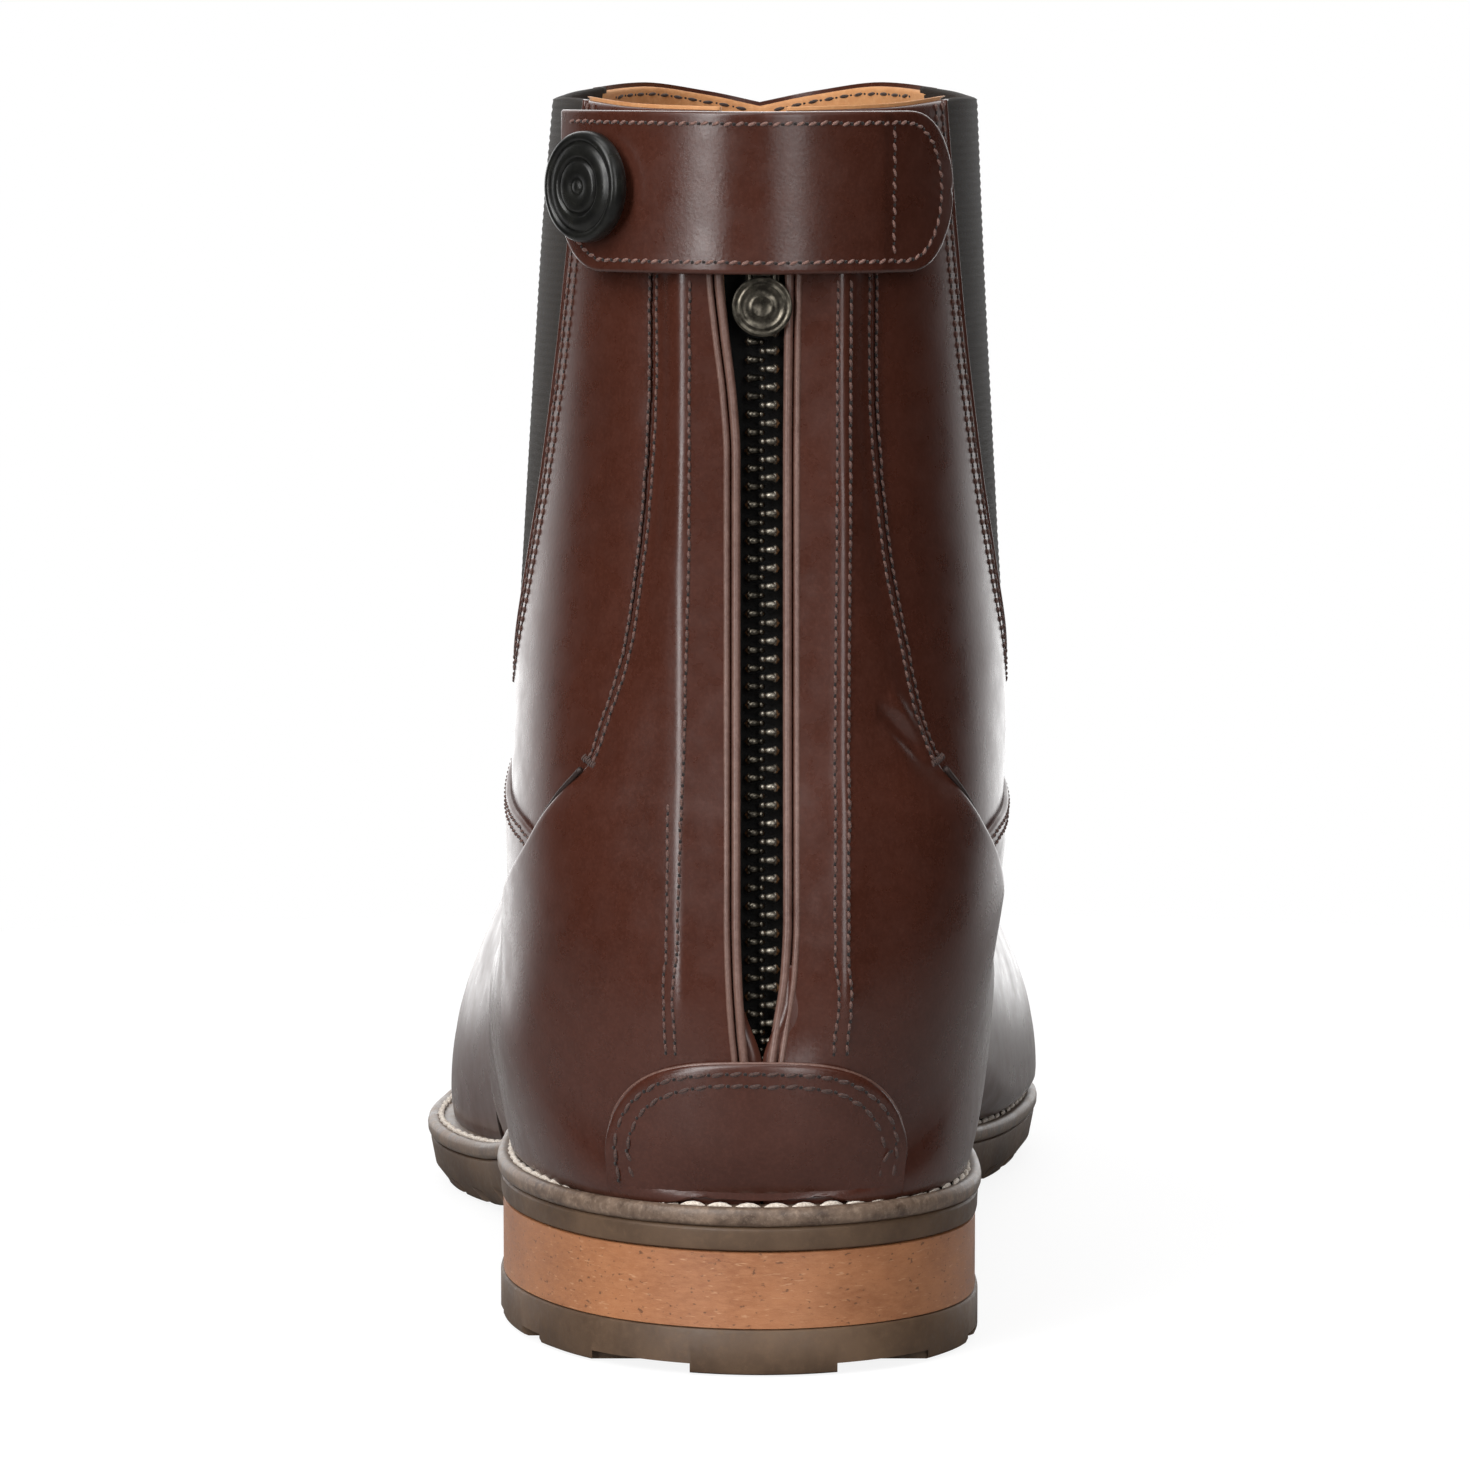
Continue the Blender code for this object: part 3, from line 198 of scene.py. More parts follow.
# Soft boxes: name, turn from the camera's side in degrees, distance, height, width, length, power
LIGHTS = [
    ("strip_left", -38.5, 0.90, 0.40, 0.24, 0.80, 5.8),
    ("strip_right", 20.0, 0.95, 0.40, 0.32, 0.80, 3.6),
    ("key_high", -42.0, 0.90, 1.10, 0.80, 0.80, 9.5),
    ("fill_high", 45.0, 0.90, 1.00, 0.60, 0.60, 1.2),
    ("top", 0.0, 0.05, 1.60, 0.90, 0.90, 7.0),
]

# Half outline of the sole: station, lateral x, medial x
SOLE_OUTLINE = [
    (10.0, -22.6, 22.0),
    (25.0, -32.7, 30.5),
    (45.0, -38.7, 32.6),
    (75.0, -39.2, 30.8),
    (110.0, -39.4, 27.2),
    (145.0, -46.5, 31.5),
    (172.0, -54.8, 40.0),
    (195.0, -55.9, 46.2),
    (220.0, -52.0, 48.8),
    (248.0, -42.6, 43.6),
    (270.0, -30.0, 34.0),
    (282.5, -15.4, 21.2),
]

# Notches of the heel lift: middle x, middle station, width, length
HEEL_NOTCHES = [
    (-17.6, 3.0, 14.3, 22.0),
    (17.6, 3.0, 13.4, 22.0),
    (-36.0, 29.0, 22.0, 7.0),
    (-36.0, 50.0, 22.0, 7.0),
    (31.0, 29.0, 22.0, 7.0),
    (31.0, 50.0, 22.0, 7.0),
]

# Height of the sole: station, welt top, outsole thickness with its lugs
SOLE_HEIGHTS = [
    (0.0, 24.5, 3.7),
    (76.0, 24.5, 3.7),
    (95.0, 22.6, 4.5),
    (115.0, 18.6, 5.8),
    (135.0, 14.6, 7.0),
    (155.0, 11.8, 7.9),
    (166.0, 11.0, 7.9),
    (176.0, 10.7, 7.9),
    (216.0, 10.7, 7.9),
    (232.0, 11.5, 7.9),
    (250.0, 13.3, 7.7),
    (270.0, 16.1, 7.5),
    (288.0, 19.3, 7.2),
]

# Sections of the foot, each from a point on the sole to one on the ridge of the vamp and instep:
# sole station, ridge station, ridge height, ridge x, lateral bulge, medial bulge, widest place
FOOT_SECTIONS = [
    (4.0, 117.0, 123.0, 0.0, 2.2, 4.5, 0.60),
    (20.0, 118.0, 121.5, 0.0, 2.2, 4.6, 0.62),
    (40.0, 120.0, 119.0, 0.2, 2.2, 5.0, 0.65),
    (60.0, 123.0, 115.5, 0.5, 2.4, 6.6, 0.68),
    (80.0, 127.0, 111.0, 1.0, 3.1, 8.6, 0.71),
    (100.0, 133.0, 105.5, 1.6, 4.1, 10.8, 0.74),
    (120.0, 141.0, 99.0, 2.2, 4.4, 11.2, 0.77),
    (140.0, 152.0, 91.5, 2.8, 3.3, 10.6, 0.82),
    (160.0, 166.0, 83.0, 3.3, 1.7, 8.6, 0.88),
    (180.0, 183.0, 74.0, 3.7, 0.5, 6.4, 0.93),
    (200.0, 201.0, 66.2, 4.0, 0.5, 5.0, 0.93),
    (220.0, 220.0, 59.8, 4.2, 0.8, 3.8, 0.91),
    (240.0, 240.0, 54.8, 4.3, 1.2, 2.2, 0.88),
    (262.0, 262.0, 50.6, 4.2, 1.3, 1.4, 0.83),
    (283.0, 283.0, 46.5, 4.0, 1.2, 1.2, 0.80),
]

# Sections of the shaft, each from the back line to the front line:
# back height, back station, front station, front height, lateral half width, medial half width, widest place
SHAFT_SECTIONS = [
    (24.8, 4.0, 117.0, 123.0, 36.9, 33.1, 0.60),
    (45.0, 2.6, 116.0, 127.5, 37.8, 36.7, 0.585),
    (60.0, 3.4, 114.8, 131.5, 37.2, 36.8, 0.57),
    (80.0, 6.6, 113.8, 137.0, 36.9, 36.8, 0.555),
    (100.0, 9.8, 113.0, 143.0, 36.2, 36.2, 0.545),
    (120.0, 11.8, 112.4, 149.5, 35.4, 35.5, 0.535),
    (140.0, 12.2, 111.8, 157.5, 34.5, 34.7, 0.53),
    (160.0, 11.6, 111.2, 167.5, 33.5, 33.9, 0.525),
    (181.4, 10.5, 110.5, 184.6, 31.8, 33.0, 0.52),
]

# Collar edge above a level cut: place around from the front centre, extra height
COLLAR_EDGE = [
    (0.0, -1.6),
    (0.10, 0.2),
    (0.24, 1.8),
    (0.40, 1.1),
    (0.55, 0.6),
    (0.70, 1.2),
    (0.85, 0.3),
    (1.0, 0.0),
]

# Outer edge of the back quarters on the back of the boot: height, lateral x, medial x
QUARTER_EDGE = [
    (156.5, -15.6, 15.9),
    (139.6, -15.7, 16.0),
    (113.9, -17.8, 18.6),
    (103.3, -19.5, 20.7),
    (93.4, -22.6, 22.9),
    (87.2, -24.8, 25.3),
    (82.0, -28.8, 28.8),
    (78.0, -31.3, 30.9),
]
# The same edge on the sides: station, lateral height, medial height
QUARTER_SIDE_EDGE = [
    (29.0, 74.0, 74.0),
    (36.0, 69.0, 67.5),
    (46.0, 64.0, 61.0),
    (62.0, 57.5, 54.5),
    (84.0, 50.0, 48.0),
    (108.0, 42.0, 41.0),
    (132.0, 31.0, 31.0),
]
QUARTER_SOLE_STATION = 144.0
# Bulge of the lateral quarter beside the heel: depth, height of its middle, reach up and down
SIDE_BULGE = (2.3, 43.0, 12.0)
SIDE_BULGE_START = (12.0, 40.0)   # stations over which it grows
QUARTER_STITCH_END = 86.8 # below this height the quarter's edge is plain
UNDER_QUARTER = 0.8       # how far the upper draws in under the quarters beside the zip
QUARTER_THIN_SPAN = (78.0, 88.0)   # heights over which a quarter thins to its sewn part
JOINT_SPAN = 0.09         # sections over which the joint of foot and shaft is smoothed
QUARTER_TOP = 1.985       # section at which the quarters end, under the strap
QUARTER_SEAT = 0.6        # lower edge of a quarter above the upper's own
QUARTER_BACK = -1.2       # underside of a quarter, inside the upper's wall
LEAST_SHEET = 0.15        # least thickness of a layer at its edges
QUARTER_SEAM_ROWS = ((-0.75, 0.1), (0.8, FEATHER_EDGE + 0.16))   # shift round, height
TACK_HALF = 1.5           # half length of the bar tack at the seam's end
VAMP_LIFT = 0.9
STRAP_TOP = 181.5
STRAP_TIP_X = 24.7
STRAP_TIP = 5.8           # length of the rounded tip, seen from behind
STRAP_TIP_POWER = 2.3
STRAP_INSET = 1.7         # stitches from the strap's edge
STRAP_STEP = 0.4          # how far the strap's body stands above its tip
STRAP_SEAM_X = 16.2
STRAP_END_SPREAD = 1.6    # length along the strap for each mm of x near its ends
TOOTH_PITCH = 2.6
# Rounded bars of one tooth: place out from the middle, depth, length, width, height
TOOTH = [
    (1.35, 0.75, 2.5, 1.1, 1.2),
    (0.1, 0.6, 1.15, 0.95, 1.3),
    (1.9, 0.9, 1.1, 1.5, 1.1),
]
# Stitch rows beside the zip: x and height of the points they pass
ZIP_STITCHES_LATERAL = [
    [(-9.8, 157.5), (-9.9, 120.0), (-10.6, 90.0), (-11.4, 60.0), (-11.6, 46.5)],
    [(-12.6, 82.0), (-12.8, 60.0), (-13.0, 46.5)],
]
ZIP_STITCHES_MEDIAL = [
    [(10.2, 157.5), (10.2, 120.0), (10.0, 90.0), (9.8, 60.0), (9.7, 46.5)],
    [(11.9, 157.5), (11.9, 120.0), (11.7, 90.0), (11.4, 60.0), (11.3, 46.5)],
]
# Edges of the gap over the zip: height, lateral x, medial x
ZIP_GAP = [
    (38.0, -1.3, 0.0),
    (42.0, -1.6, 0.2),
    (46.0, -1.9, 0.7),
    (50.0, -2.3, 1.3),
    (58.0, -2.8, 2.5),
    (66.0, -3.0, 2.9),
    (132.0, -3.0, 2.9),
    (140.0, -3.5, 2.95),
    (150.0, -4.7, 3.05),
    (158.0, -5.5, 3.15),
    (182.0, -5.9, 3.2),
]
TEETH_BOTTOM = 43.0
LINING_FRONT = (0.34, 0.5)  # places around over which the front's lining gives way to the back's
LINING_DROP = 0.005       # how far the front's lining ends below the leather, in sections
LINING_PROUD = 0.5        # how far the back's lining stands above the leather
LINING_STITCH_DROP = 0.0135
LINING_STITCH_END = 0.31
STITCH_PROUD = 0.05       # middle of a stitch above the leather
# Dark pits between the stitches, painted shade in the needle holes
HOLE_LENGTH = 0.62
HOLE_WIDTH = 0.56
HOLE_HEIGHT = 0.2
HOLE_SINK = 0.03          # depth of a needle hole's middle under the stitches' line
SEWN_LEAN = 3.0           # degrees by which stitches lean unevenly
SEWN_STRAY = 0.04         # how far they stray from their line
STITCH_SAG = 0.35         # how far a stitch's ends sink, as a share of its height
# Pucker of the medial quarter beside its seam: x and height of its two ends, depth, width
PUCKER = ((16.2, 95.5), (23.4, 88.0), 1.0, 1.3)
PUCKER_BANK = (0.7, 1.6)  # raised bank beside it: height as a share of its depth, distance in widths
RIB_PITCH = 1.15
RIB_HEIGHT = 0.16
GORE_TUCK = 1.2           # how far the elastic runs in behind the leather
TAPE_RIB_HEIGHT = 0.07
TAPE_RIB_PITCH = 0.9
VAMP_STITCH_ROWS = (1.6, 3.4)     # distances from the vamp's edge
VAMP_SECTION = 150.0      # about the length for one whole s at the vamp's edge
GORE_STITCH_ROWS = (1.5, 3.1)     # distances from a gore's border
# Back edge of the vamp seen from the side: station, height
VAMP_SEAM = [
    (112.6, 139.0),
    (108.0, 131.0),
    (98.0, 117.0),
    (84.0, 102.5),
    (68.0, 87.5),
    (54.0, 82.2),
    (44.0, 79.6),
    (34.0, 77.4),
    (26.0, 75.2),
    (20.0, 70.0),
]


def smooth_through(table, column, at):
    """Monotone cubic through one column of a table whose first column rises."""
    rows = np.asarray(table, dtype=float)
    keys = rows[:, 0]
    values = rows[:, column]
    step = np.diff(keys)
    rise = np.diff(values) / step
    slope = np.zeros_like(values)
    same_way = rise[:-1] * rise[1:] > 0
    before = 2 * step[1:] + step[:-1]
    after = step[1:] + 2 * step[:-1]
    safe = np.where(same_way, rise[:-1] * rise[1:], 1.0)
    mean = (before + after) * safe / np.where(same_way, before * rise[1:] + after * rise[:-1], 1.0)
    slope[1:-1] = np.where(same_way, mean, 0.0)
    slope[0] = rise[0]
    slope[-1] = rise[-1]
    at = np.clip(np.asarray(at, dtype=float), keys[0], keys[-1])
    index = np.clip(np.searchsorted(keys, at, side="right") - 1, 0, len(keys) - 2)
    width = step[index]
    u = (at - keys[index]) / width
    return hermite(u, values[index], values[index + 1], slope[index] * width, slope[index + 1] * width)


def hermite(u, start, end, slope_start, slope_end):
    """Cubic from a start to an end with the slopes given, at shares u of the way."""
    return (start * (1 + 2 * u) * (1 - u) ** 2 + slope_start * u * (1 - u) ** 2
            + end * u ** 2 * (3 - 2 * u) - slope_end * u ** 2 * (1 - u))


def unit(vectors):
    return vectors / np.linalg.norm(vectors, axis=-1)[..., None]


def running(points):
    """Running length of a line at each of its points."""
    return np.concatenate([[0], np.cumsum(np.linalg.norm(np.diff(points, axis=0), axis=1))])


def pairs(first, second):
    """Two equal grids: the first values along the rows and the second along the columns."""
    return np.meshgrid(first, second, indexing="ij")


def ease(low, high, value):
    """Share from 0 below low to 1 above high, with level ends."""
    u = np.clip((np.asarray(value, dtype=float) - low) / (high - low), 0.0, 1.0)
    return u * u * (3 - 2 * u)


# Sole outline

def closed_spline(points, count):
    """Points and tangents on a smooth closed curve through the given points."""
    points = np.asarray(points, dtype=float)
    total = len(points)
    chord = np.linalg.norm(np.roll(points, -1, axis=0) - points, axis=1)
    system = np.zeros((total, total))
    target = np.zeros((total, 2))
    for i in range(total):
        before = chord[i - 1]
        after = chord[i]
        system[i, i - 1] = after
        system[i, i] = 2 * (before + after)
        system[i, (i + 1) % total] = before
        target[i] = 3 * (after * (points[i] - points[i - 1]) / before
                         + before * (points[(i + 1) % total] - points[i]) / after)
    slope = np.linalg.solve(system, target)
    place = np.linspace(0, total, count, endpoint=False)
    index = place.astype(int)
    u = (place - index)[:, None]
    width = chord[index][:, None]
    following = (index + 1) % total
    p0, p1 = points[index], points[following]
    m0, m1 = slope[index] * width, slope[following] * width
    tangent = ((p0 - p1) * 6 * u * (u - 1) + m0 * (1 - u) * (1 - 3 * u) + m1 * u * (3 * u - 2))
    return hermite(u, p0, p1, m0, m1), unit(tangent)


class Outline:
    """The sole's outline, drawn in by an inset that may differ from heel to forefoot."""

    def __init__(self, heel_inset, fore_inset):
        lateral = [(row[1], row[0]) for row in SOLE_OUTLINE]
        medial = [(row[2], row[0]) for row in reversed(SOLE_OUTLINE)]
        points = [(0.0, 0.0)] + lateral + [(TOE_TIP_X, SOLE_LENGTH)] + medial
        curve, tangent = closed_spline(points, 1440)
        inward = np.stack([tangent[:, 1], -tangent[:, 0]], axis=1)
        inset = heel_inset + (fore_inset - heel_inset) * ease(*INSET_SPAN, curve[:, 1])
        curve = curve + inward * inset[:, None]
        heel = int(np.argmin(curve[:, 1]))
        curve = np.roll(curve, -heel, axis=0)
        toe = int(np.argmax(curve[:, 1]))
        self.lateral = curve[:toe + 1]
        self.medial = np.vstack([curve[toe:], curve[:1]])[::-1]
        self.start = curve[0, 1]
        self.end = curve[toe, 1]

    def x(self, station, side):
        """Edge of the lateral (side -1) or medial (side +1) half at a station."""
        half = self.lateral if side < 0 else self.medial
        order = np.argsort(half[:, 1])
        return np.interp(station, half[order, 1], half[order, 0])


def tread_station(station, x):
    """Station along the slanting tread: the medial ball lies ahead of the lateral one."""
    slant = TREAD_SLANT * ease(*TREAD_SLANT_SPAN, station) * (1 - ease(TREAD_SLANT_END, SOLE_LENGTH, station))
    return station - slant * np.asarray(x)


def welt_top(station, x=0.0):
    """Height of the welt's upper face."""
    return smooth_through(SOLE_HEIGHTS, 1, tread_station(station, x))


def outsole_bottom(station, x=0.0):
    """Height of the outsole's tread, with its lugs."""
    thickness = smooth_through(SOLE_HEIGHTS, 2, tread_station(station, x))
    return welt_top(station, x) - WELT_THICKNESS - thickness


SOLE = Outline(0.0, 0.0)
FEATHER = Outline(FEATHER_HEEL, FEATHER_FORE)
HEEL_SEAT = float(welt_top(FEATHER.start)) + GAP


# The upper's surface: s runs from toe tip (0) along the foot to the heel (1) and up to the collar (2),
# t from the lateral end of a section (-1) over its ridge (0) to the medial end (1)

def foot_station(s):
    """Station on the sole at which a section of the foot ends."""
    middle = (FEATHER.end + FEATHER.start) / 2
    return middle + (FEATHER.end - FEATHER.start) / 2 * np.cos(math.pi * np.clip(s, 0, 1))


def back_height(s):
    """Height on the back line at which a section of the shaft ends."""
    return HEEL_SEAT + (BACK_TOP - HEEL_SEAT) * np.clip(s - 1, 0, 1)


def upper_surface(s, t):
    """Points of the upper's outer face, eased across the turn from the foot to the shaft."""
    s = np.asarray(s, dtype=float)
    t = np.asarray(t, dtype=float)
    reach = EASE_REACH * ease(*EASE_IN, s) * (1 - ease(*EASE_OUT, s)) * (1 - np.abs(t) ** 3)
    total = 0.0
    for place, weight in EASE_TAPS:
        total = total + weight * section_point(s + place * reach, t)
    return total


def section_point(s, t):
    """Points of the sections as their tables give them; s and t are arrays of one shape."""
    s = np.asarray(s, dtype=float)
    t = np.asarray(t, dtype=float)
    side = np.where(t < 0, -1.0, 1.0)
    around = np.abs(t)
    on_foot = s < 1
    sole = foot_station(s)
    back = back_height(s)
    seat = welt_top(sole) + GAP

    def of_foot(column):
        return smooth_through(FOOT_SECTIONS, column, sole)

    def of_shaft(column):
        return smooth_through(SHAFT_SECTIONS, column, back)

    toe = np.clip((sole - TOE_BOX_START) / (FEATHER.end - TOE_BOX_START), 0, 1)
    box = (1 - toe ** TOE_BOX_SQUARENESS) ** (1 / TOE_BOX_SQUARENESS)
    ridge_z = seat + (of_foot(2) - seat) * box
    front_y = np.where(on_foot, of_foot(1), of_shaft(2))
    front_y = np.where(sole > FOOT_SECTIONS[-2][0], sole, front_y)
    front_z = np.where(on_foot, ridge_z, of_shaft(3))
    end_y = np.where(on_foot, sole, of_shaft(1))
    feather = np.where(side < 0, FEATHER.x(sole, -1), FEATHER.x(sole, 1))
    end_z = np.where(on_foot, welt_top(sole, feather) + GAP, back)
    ridge_x = np.where(on_foot, of_foot(3), 0.0)
    ridge_x = np.where(toe > 0, ridge_x + (FEATHER.x(FEATHER.end, 1) - ridge_x) * toe ** 4, ridge_x)
    widest = np.where(on_foot, of_foot(6), of_shaft(6))

    held = np.maximum(sole, HOLD_STATION)
    bulge = np.where(side < 0, of_foot(4), of_foot(5)) * (1 - toe ** 6)
    foot_width = np.where(side < 0, -FEATHER.x(held, -1), FEATHER.x(held, 1)) + bulge
    slit = SLIT_WIDTH / 2 * ease(SLIT_BOTTOM - 0.5, SLIT_BOTTOM + SLIT_OPENING, back)
    shaft_width = np.where(side < 0, of_shaft(4), of_shaft(5))
    half_width = np.where(on_foot, foot_width - side * ridge_x, shaft_width)
    end_width = np.where(on_foot, side * (feather - ridge_x), slit)

    split = TOP_SHARE[0] + TOP_SHARE[1] * widest
    upper_part = around < split
    rise = np.clip(around / split, 0, 1) * math.pi / 2
    turn_in = math.radians(FOOT_TURN_IN)
    last = turn_in + (math.pi / 2 - turn_in) * (1 - ease(*HEEL_ROUND_SPAN, sole))
    fall = np.clip((around - split) / (1 - split), 0, 1) * last
    x = np.where(upper_part, half_width * np.sin(rise),
                 end_width + (half_width - end_width) * (np.cos(fall) - np.cos(last)) / (1 - np.cos(last)))
    down = np.where(upper_part, widest * (1 - np.cos(rise)),
                    widest + (1 - widest) * np.sin(fall) / np.sin(last))

    collar = smooth_through(COLLAR_EDGE, 1, around) * ease(COLLAR_START, BACK_TOP, back) * (s > 1)
    return np.stack([
        ridge_x + side * x,
        front_y + (end_y - front_y) * down,
        front_z + (end_z - front_z) * down + collar,
    ], axis=-1)


def upper_normal(s, t):
    """Ways out from the upper's outer face."""
    s = np.clip(s, 0.01, 2.0)
    along = upper_surface(np.minimum(s + PROBE, 2.0), t) - upper_surface(s - PROBE, t)
    across = upper_surface(s, np.minimum(t + PROBE, 1.0)) - upper_surface(s, np.maximum(t - PROBE, -1.0))
    return unit(np.cross(along, across))


def over_upper(s, t, lift):
    """Points at a height over the upper's outer face."""
    return upper_surface(s, t) + upper_normal(s, t) * np.asarray(lift)[..., None]


def nearest_rows(grid, points):
    """Index of the nearest row of a grid to each point."""
    found = []
    for chunk in np.array_split(points, max(len(points) // 200, 1)):
        apart = (chunk ** 2).sum(1)[:, None] + (grid ** 2).sum(1)[None] - 2 * chunk @ grid.T
        found.append(np.argmin(apart, axis=1))
    return np.concatenate(found)


def find_on_upper(side, axes, wanted, s_range=(0.55, 2.0), t_range=(0.02, 1.0)):
    """Places (s, t) on one side of the upper where two of its coordinates have the wanted values."""
    wanted = np.asarray(wanted, dtype=float)
    coarse_s, coarse_t = pairs(np.linspace(*s_range, 90), side * np.linspace(*t_range, 60))
    grid = upper_surface(coarse_s, coarse_t)[..., list(axes)].reshape(-1, 2)
    nearest = nearest_rows(grid, wanted)
    place = np.stack([coarse_s.ravel()[nearest], coarse_t.ravel()[nearest]], axis=1)
    step = 1e-4
    limit_t = sorted((side * t_range[0], side * t_range[1]))
    for _ in range(12):
        here = upper_surface(place[:, 0], place[:, 1])[:, list(axes)]
        by_s = (upper_surface(place[:, 0] - step, place[:, 1])[:, list(axes)] - here) / -step
        by_t = (upper_surface(place[:, 0], place[:, 1] - side * step)[:, list(axes)] - here) / (-side * step)
        determinant = by_s[:, 0] * by_t[:, 1] - by_s[:, 1] * by_t[:, 0]
        miss = wanted - here
        place[:, 0] += NEWTON_SHARE * (miss[:, 0] * by_t[:, 1] - miss[:, 1] * by_t[:, 0]) / determinant
        place[:, 1] += NEWTON_SHARE * (by_s[:, 0] * miss[:, 1] - by_s[:, 1] * miss[:, 0]) / determinant
        place[:, 0] = np.clip(place[:, 0], s_range[0] + step, s_range[1])
        place[:, 1] = np.clip(place[:, 1], limit_t[0] + step, limit_t[1] - step)
    return place


def nearest_on_upper(side, points, s_range=(0.4, 2.0)):
    """Places (s, t) on one side of the upper that lie nearest to points."""
    points = np.asarray(points, dtype=float)
    coarse_s, coarse_t = pairs(np.linspace(*s_range, 90), side * np.linspace(0.3, 1.0, 60))
    grid = upper_surface(coarse_s, coarse_t).reshape(-1, 3)
    nearest = nearest_rows(grid, points)
    s = coarse_s.ravel()[nearest]
    t = coarse_t.ravel()[nearest]
    step = 1e-4
    for _ in range(8):
        here = upper_surface(s, t)
        by_s = (here - upper_surface(s - step, t)) / step
        by_t = (here - upper_surface(s, t - side * step)) / (side * step)
        miss = points - here
        ss, tt, st = (by_s ** 2).sum(1), (by_t ** 2).sum(1), (by_s * by_t).sum(1)
        ms, mt = (miss * by_s).sum(1), (miss * by_t).sum(1)
        determinant = ss * tt - st ** 2
        s = np.clip(s + NEWTON_SHARE * (ms * tt - mt * st) / determinant, s_range[0], s_range[1])
        t = side * np.clip(side * (t + NEWTON_SHARE * (mt * ss - ms * st) / determinant), 0.2, 1.0)
    return np.stack([s, t], axis=1)


def open_spline(points, count):
    """Smooth line through points in space, by running length."""
    points = np.asarray(points, dtype=float)
    run = running(points)
    slope = np.gradient(points, run, axis=0)
    at = np.linspace(0, run[-1], count)
    index = np.clip(np.searchsorted(run, at, side="right") - 1, 0, len(run) - 2)
    width = (run[index + 1] - run[index])[:, None]
    u = ((at - run[index])[:, None]) / width
    return hermite(u, points[index], points[index + 1], slope[index] * width, slope[index + 1] * width)


def s_at_height(t, height):
    """Section of the shaft that passes a height at one place around it."""
    sections = np.linspace(1.0, 2.0, 200)
    z = upper_surface(sections, np.full_like(sections, t))[:, 2]
    return float(np.interp(height, z, sections))


def t_at_x(s, x):
    """Place around a section, on its back half, where it is x from the middle."""
    around = np.linspace(0.45, 1.0, 200)
    line = upper_surface(np.full_like(around, s), math.copysign(1, x) * around)
    return math.copysign(float(np.interp(-abs(x), -np.abs(line[:, 0]), around)), x)


def to_metres(points):
    """Points in millimetres carried to the frame's metres and origin."""
    points = np.array(points, dtype=float)
    points[..., 1] -= ORIGIN_STATION
    return points * MM


def fold_line(side):
    """Sections of the shaft and how far ahead the upper lies there at the zip's stitched fold."""
    sections = np.linspace(1.0, 2.0, 160)
    s, t = pairs(sections, side * np.linspace(0.6, 1.0, 200))
    points = upper_surface(s, t)
    ahead = [np.interp(-FOLD_X, -np.abs(row[:, 0]), row[:, 1]) for row in points]
    return sections, np.array(ahead)


FOLD_LINES = {side: fold_line(side) for side in (-1, 1)}


def back_swell(s, t):
    """Extra height of the back quarters: flat beside the zip, a fold along its stitches, one pucker."""
    points = upper_surface(s, t)
    across = np.abs(points[..., 0])
    height = points[..., 2]
    fold = np.where(t < 0, np.interp(s, *FOLD_LINES[-1]), np.interp(s, *FOLD_LINES[1]))
    rise = np.where(t < 0, *FOLD_RISE)
    flat = points[..., 1] - fold + rise + np.where(t < 0, *FOLD_TILT) * (points[..., 0] - np.sign(t) * FOLD_X)
    beyond = rise * np.exp(-((across - FOLD_X) / FOLD_FADE) ** 2)
    ridge_x, ridge_height, ridge_width = FOLD_RIDGE
    ridge = ridge_height * np.exp(-((points[..., 0] - ridge_x) / ridge_width) ** 2)
    share = ease(FOLD_X - FOLD_ROUNDING, FOLD_X + FOLD_ROUNDING, across)
    lift = (flat * (1 - share) + beyond * share + ridge) * ease(*FOLD_SPAN, height) * (s > 1)
    start, end, depth, width = PUCKER
    start, step = np.array(start), np.array(end) - np.array(start)
    seen = points[..., [0, 2]]
    share = np.clip(((seen - start) * step).sum(-1) / (step ** 2).sum(), 0, 1)
    off = seen - start - share[..., None] * step
    away = np.linalg.norm(off, axis=-1)
    over = np.sign(off[..., 1]) * away / width
    crease = np.exp(-over ** 2) - PUCKER_BANK[0] * np.exp(-(over - PUCKER_BANK[1]) ** 2)
    return lift - depth * crease * (share * (1 - share) * 4) ** 0.5 * (t > 0)


def zip_gap(height, side):
    """Distance of the gap's edge from the boot's middle, on one side."""
    return -smooth_through(ZIP_GAP, 1, height) if side < 0 else smooth_through(ZIP_GAP, 2, height)


# Meshes

def finish_mesh(name, verts, faces, finish, smooth=True, second=None):
    """Object from points in millimetres, with doubled corners and empty faces taken out.

    second gives another finish and the first face that takes it."""
    mesh = bpy.data.meshes.new(name)
    mesh.from_pydata(to_metres(verts).tolist(), [], faces)
    if second is not None:
        mesh.polygons.foreach_set("material_index", (np.arange(len(faces)) >= second[1]).astype(np.int32))
    work = bmesh.new()
    work.from_mesh(mesh)
    bmesh.ops.remove_doubles(work, verts=work.verts, dist=WELD / 10)
    bmesh.ops.dissolve_degenerate(work, edges=work.edges, dist=WELD / 100)
    bmesh.ops.recalc_face_normals(work, faces=work.faces)
    work.to_mesh(mesh)
    work.free()
    if smooth:
        mesh.shade_smooth()
    made = bpy.data.objects.new(name, mesh)
    bpy.context.scene.collection.objects.link(made)
    mesh.materials.append(finish)
    if second is not None:
        mesh.materials.append(second[0])
    return made


def dress(made, slot, *nodes, body="boot"):
    """Makes a piece ride on a body and stand for CAD nodes; the slot it is given is not used."""
    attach(made, body)
    if nodes:
        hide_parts(*nodes)
    return made


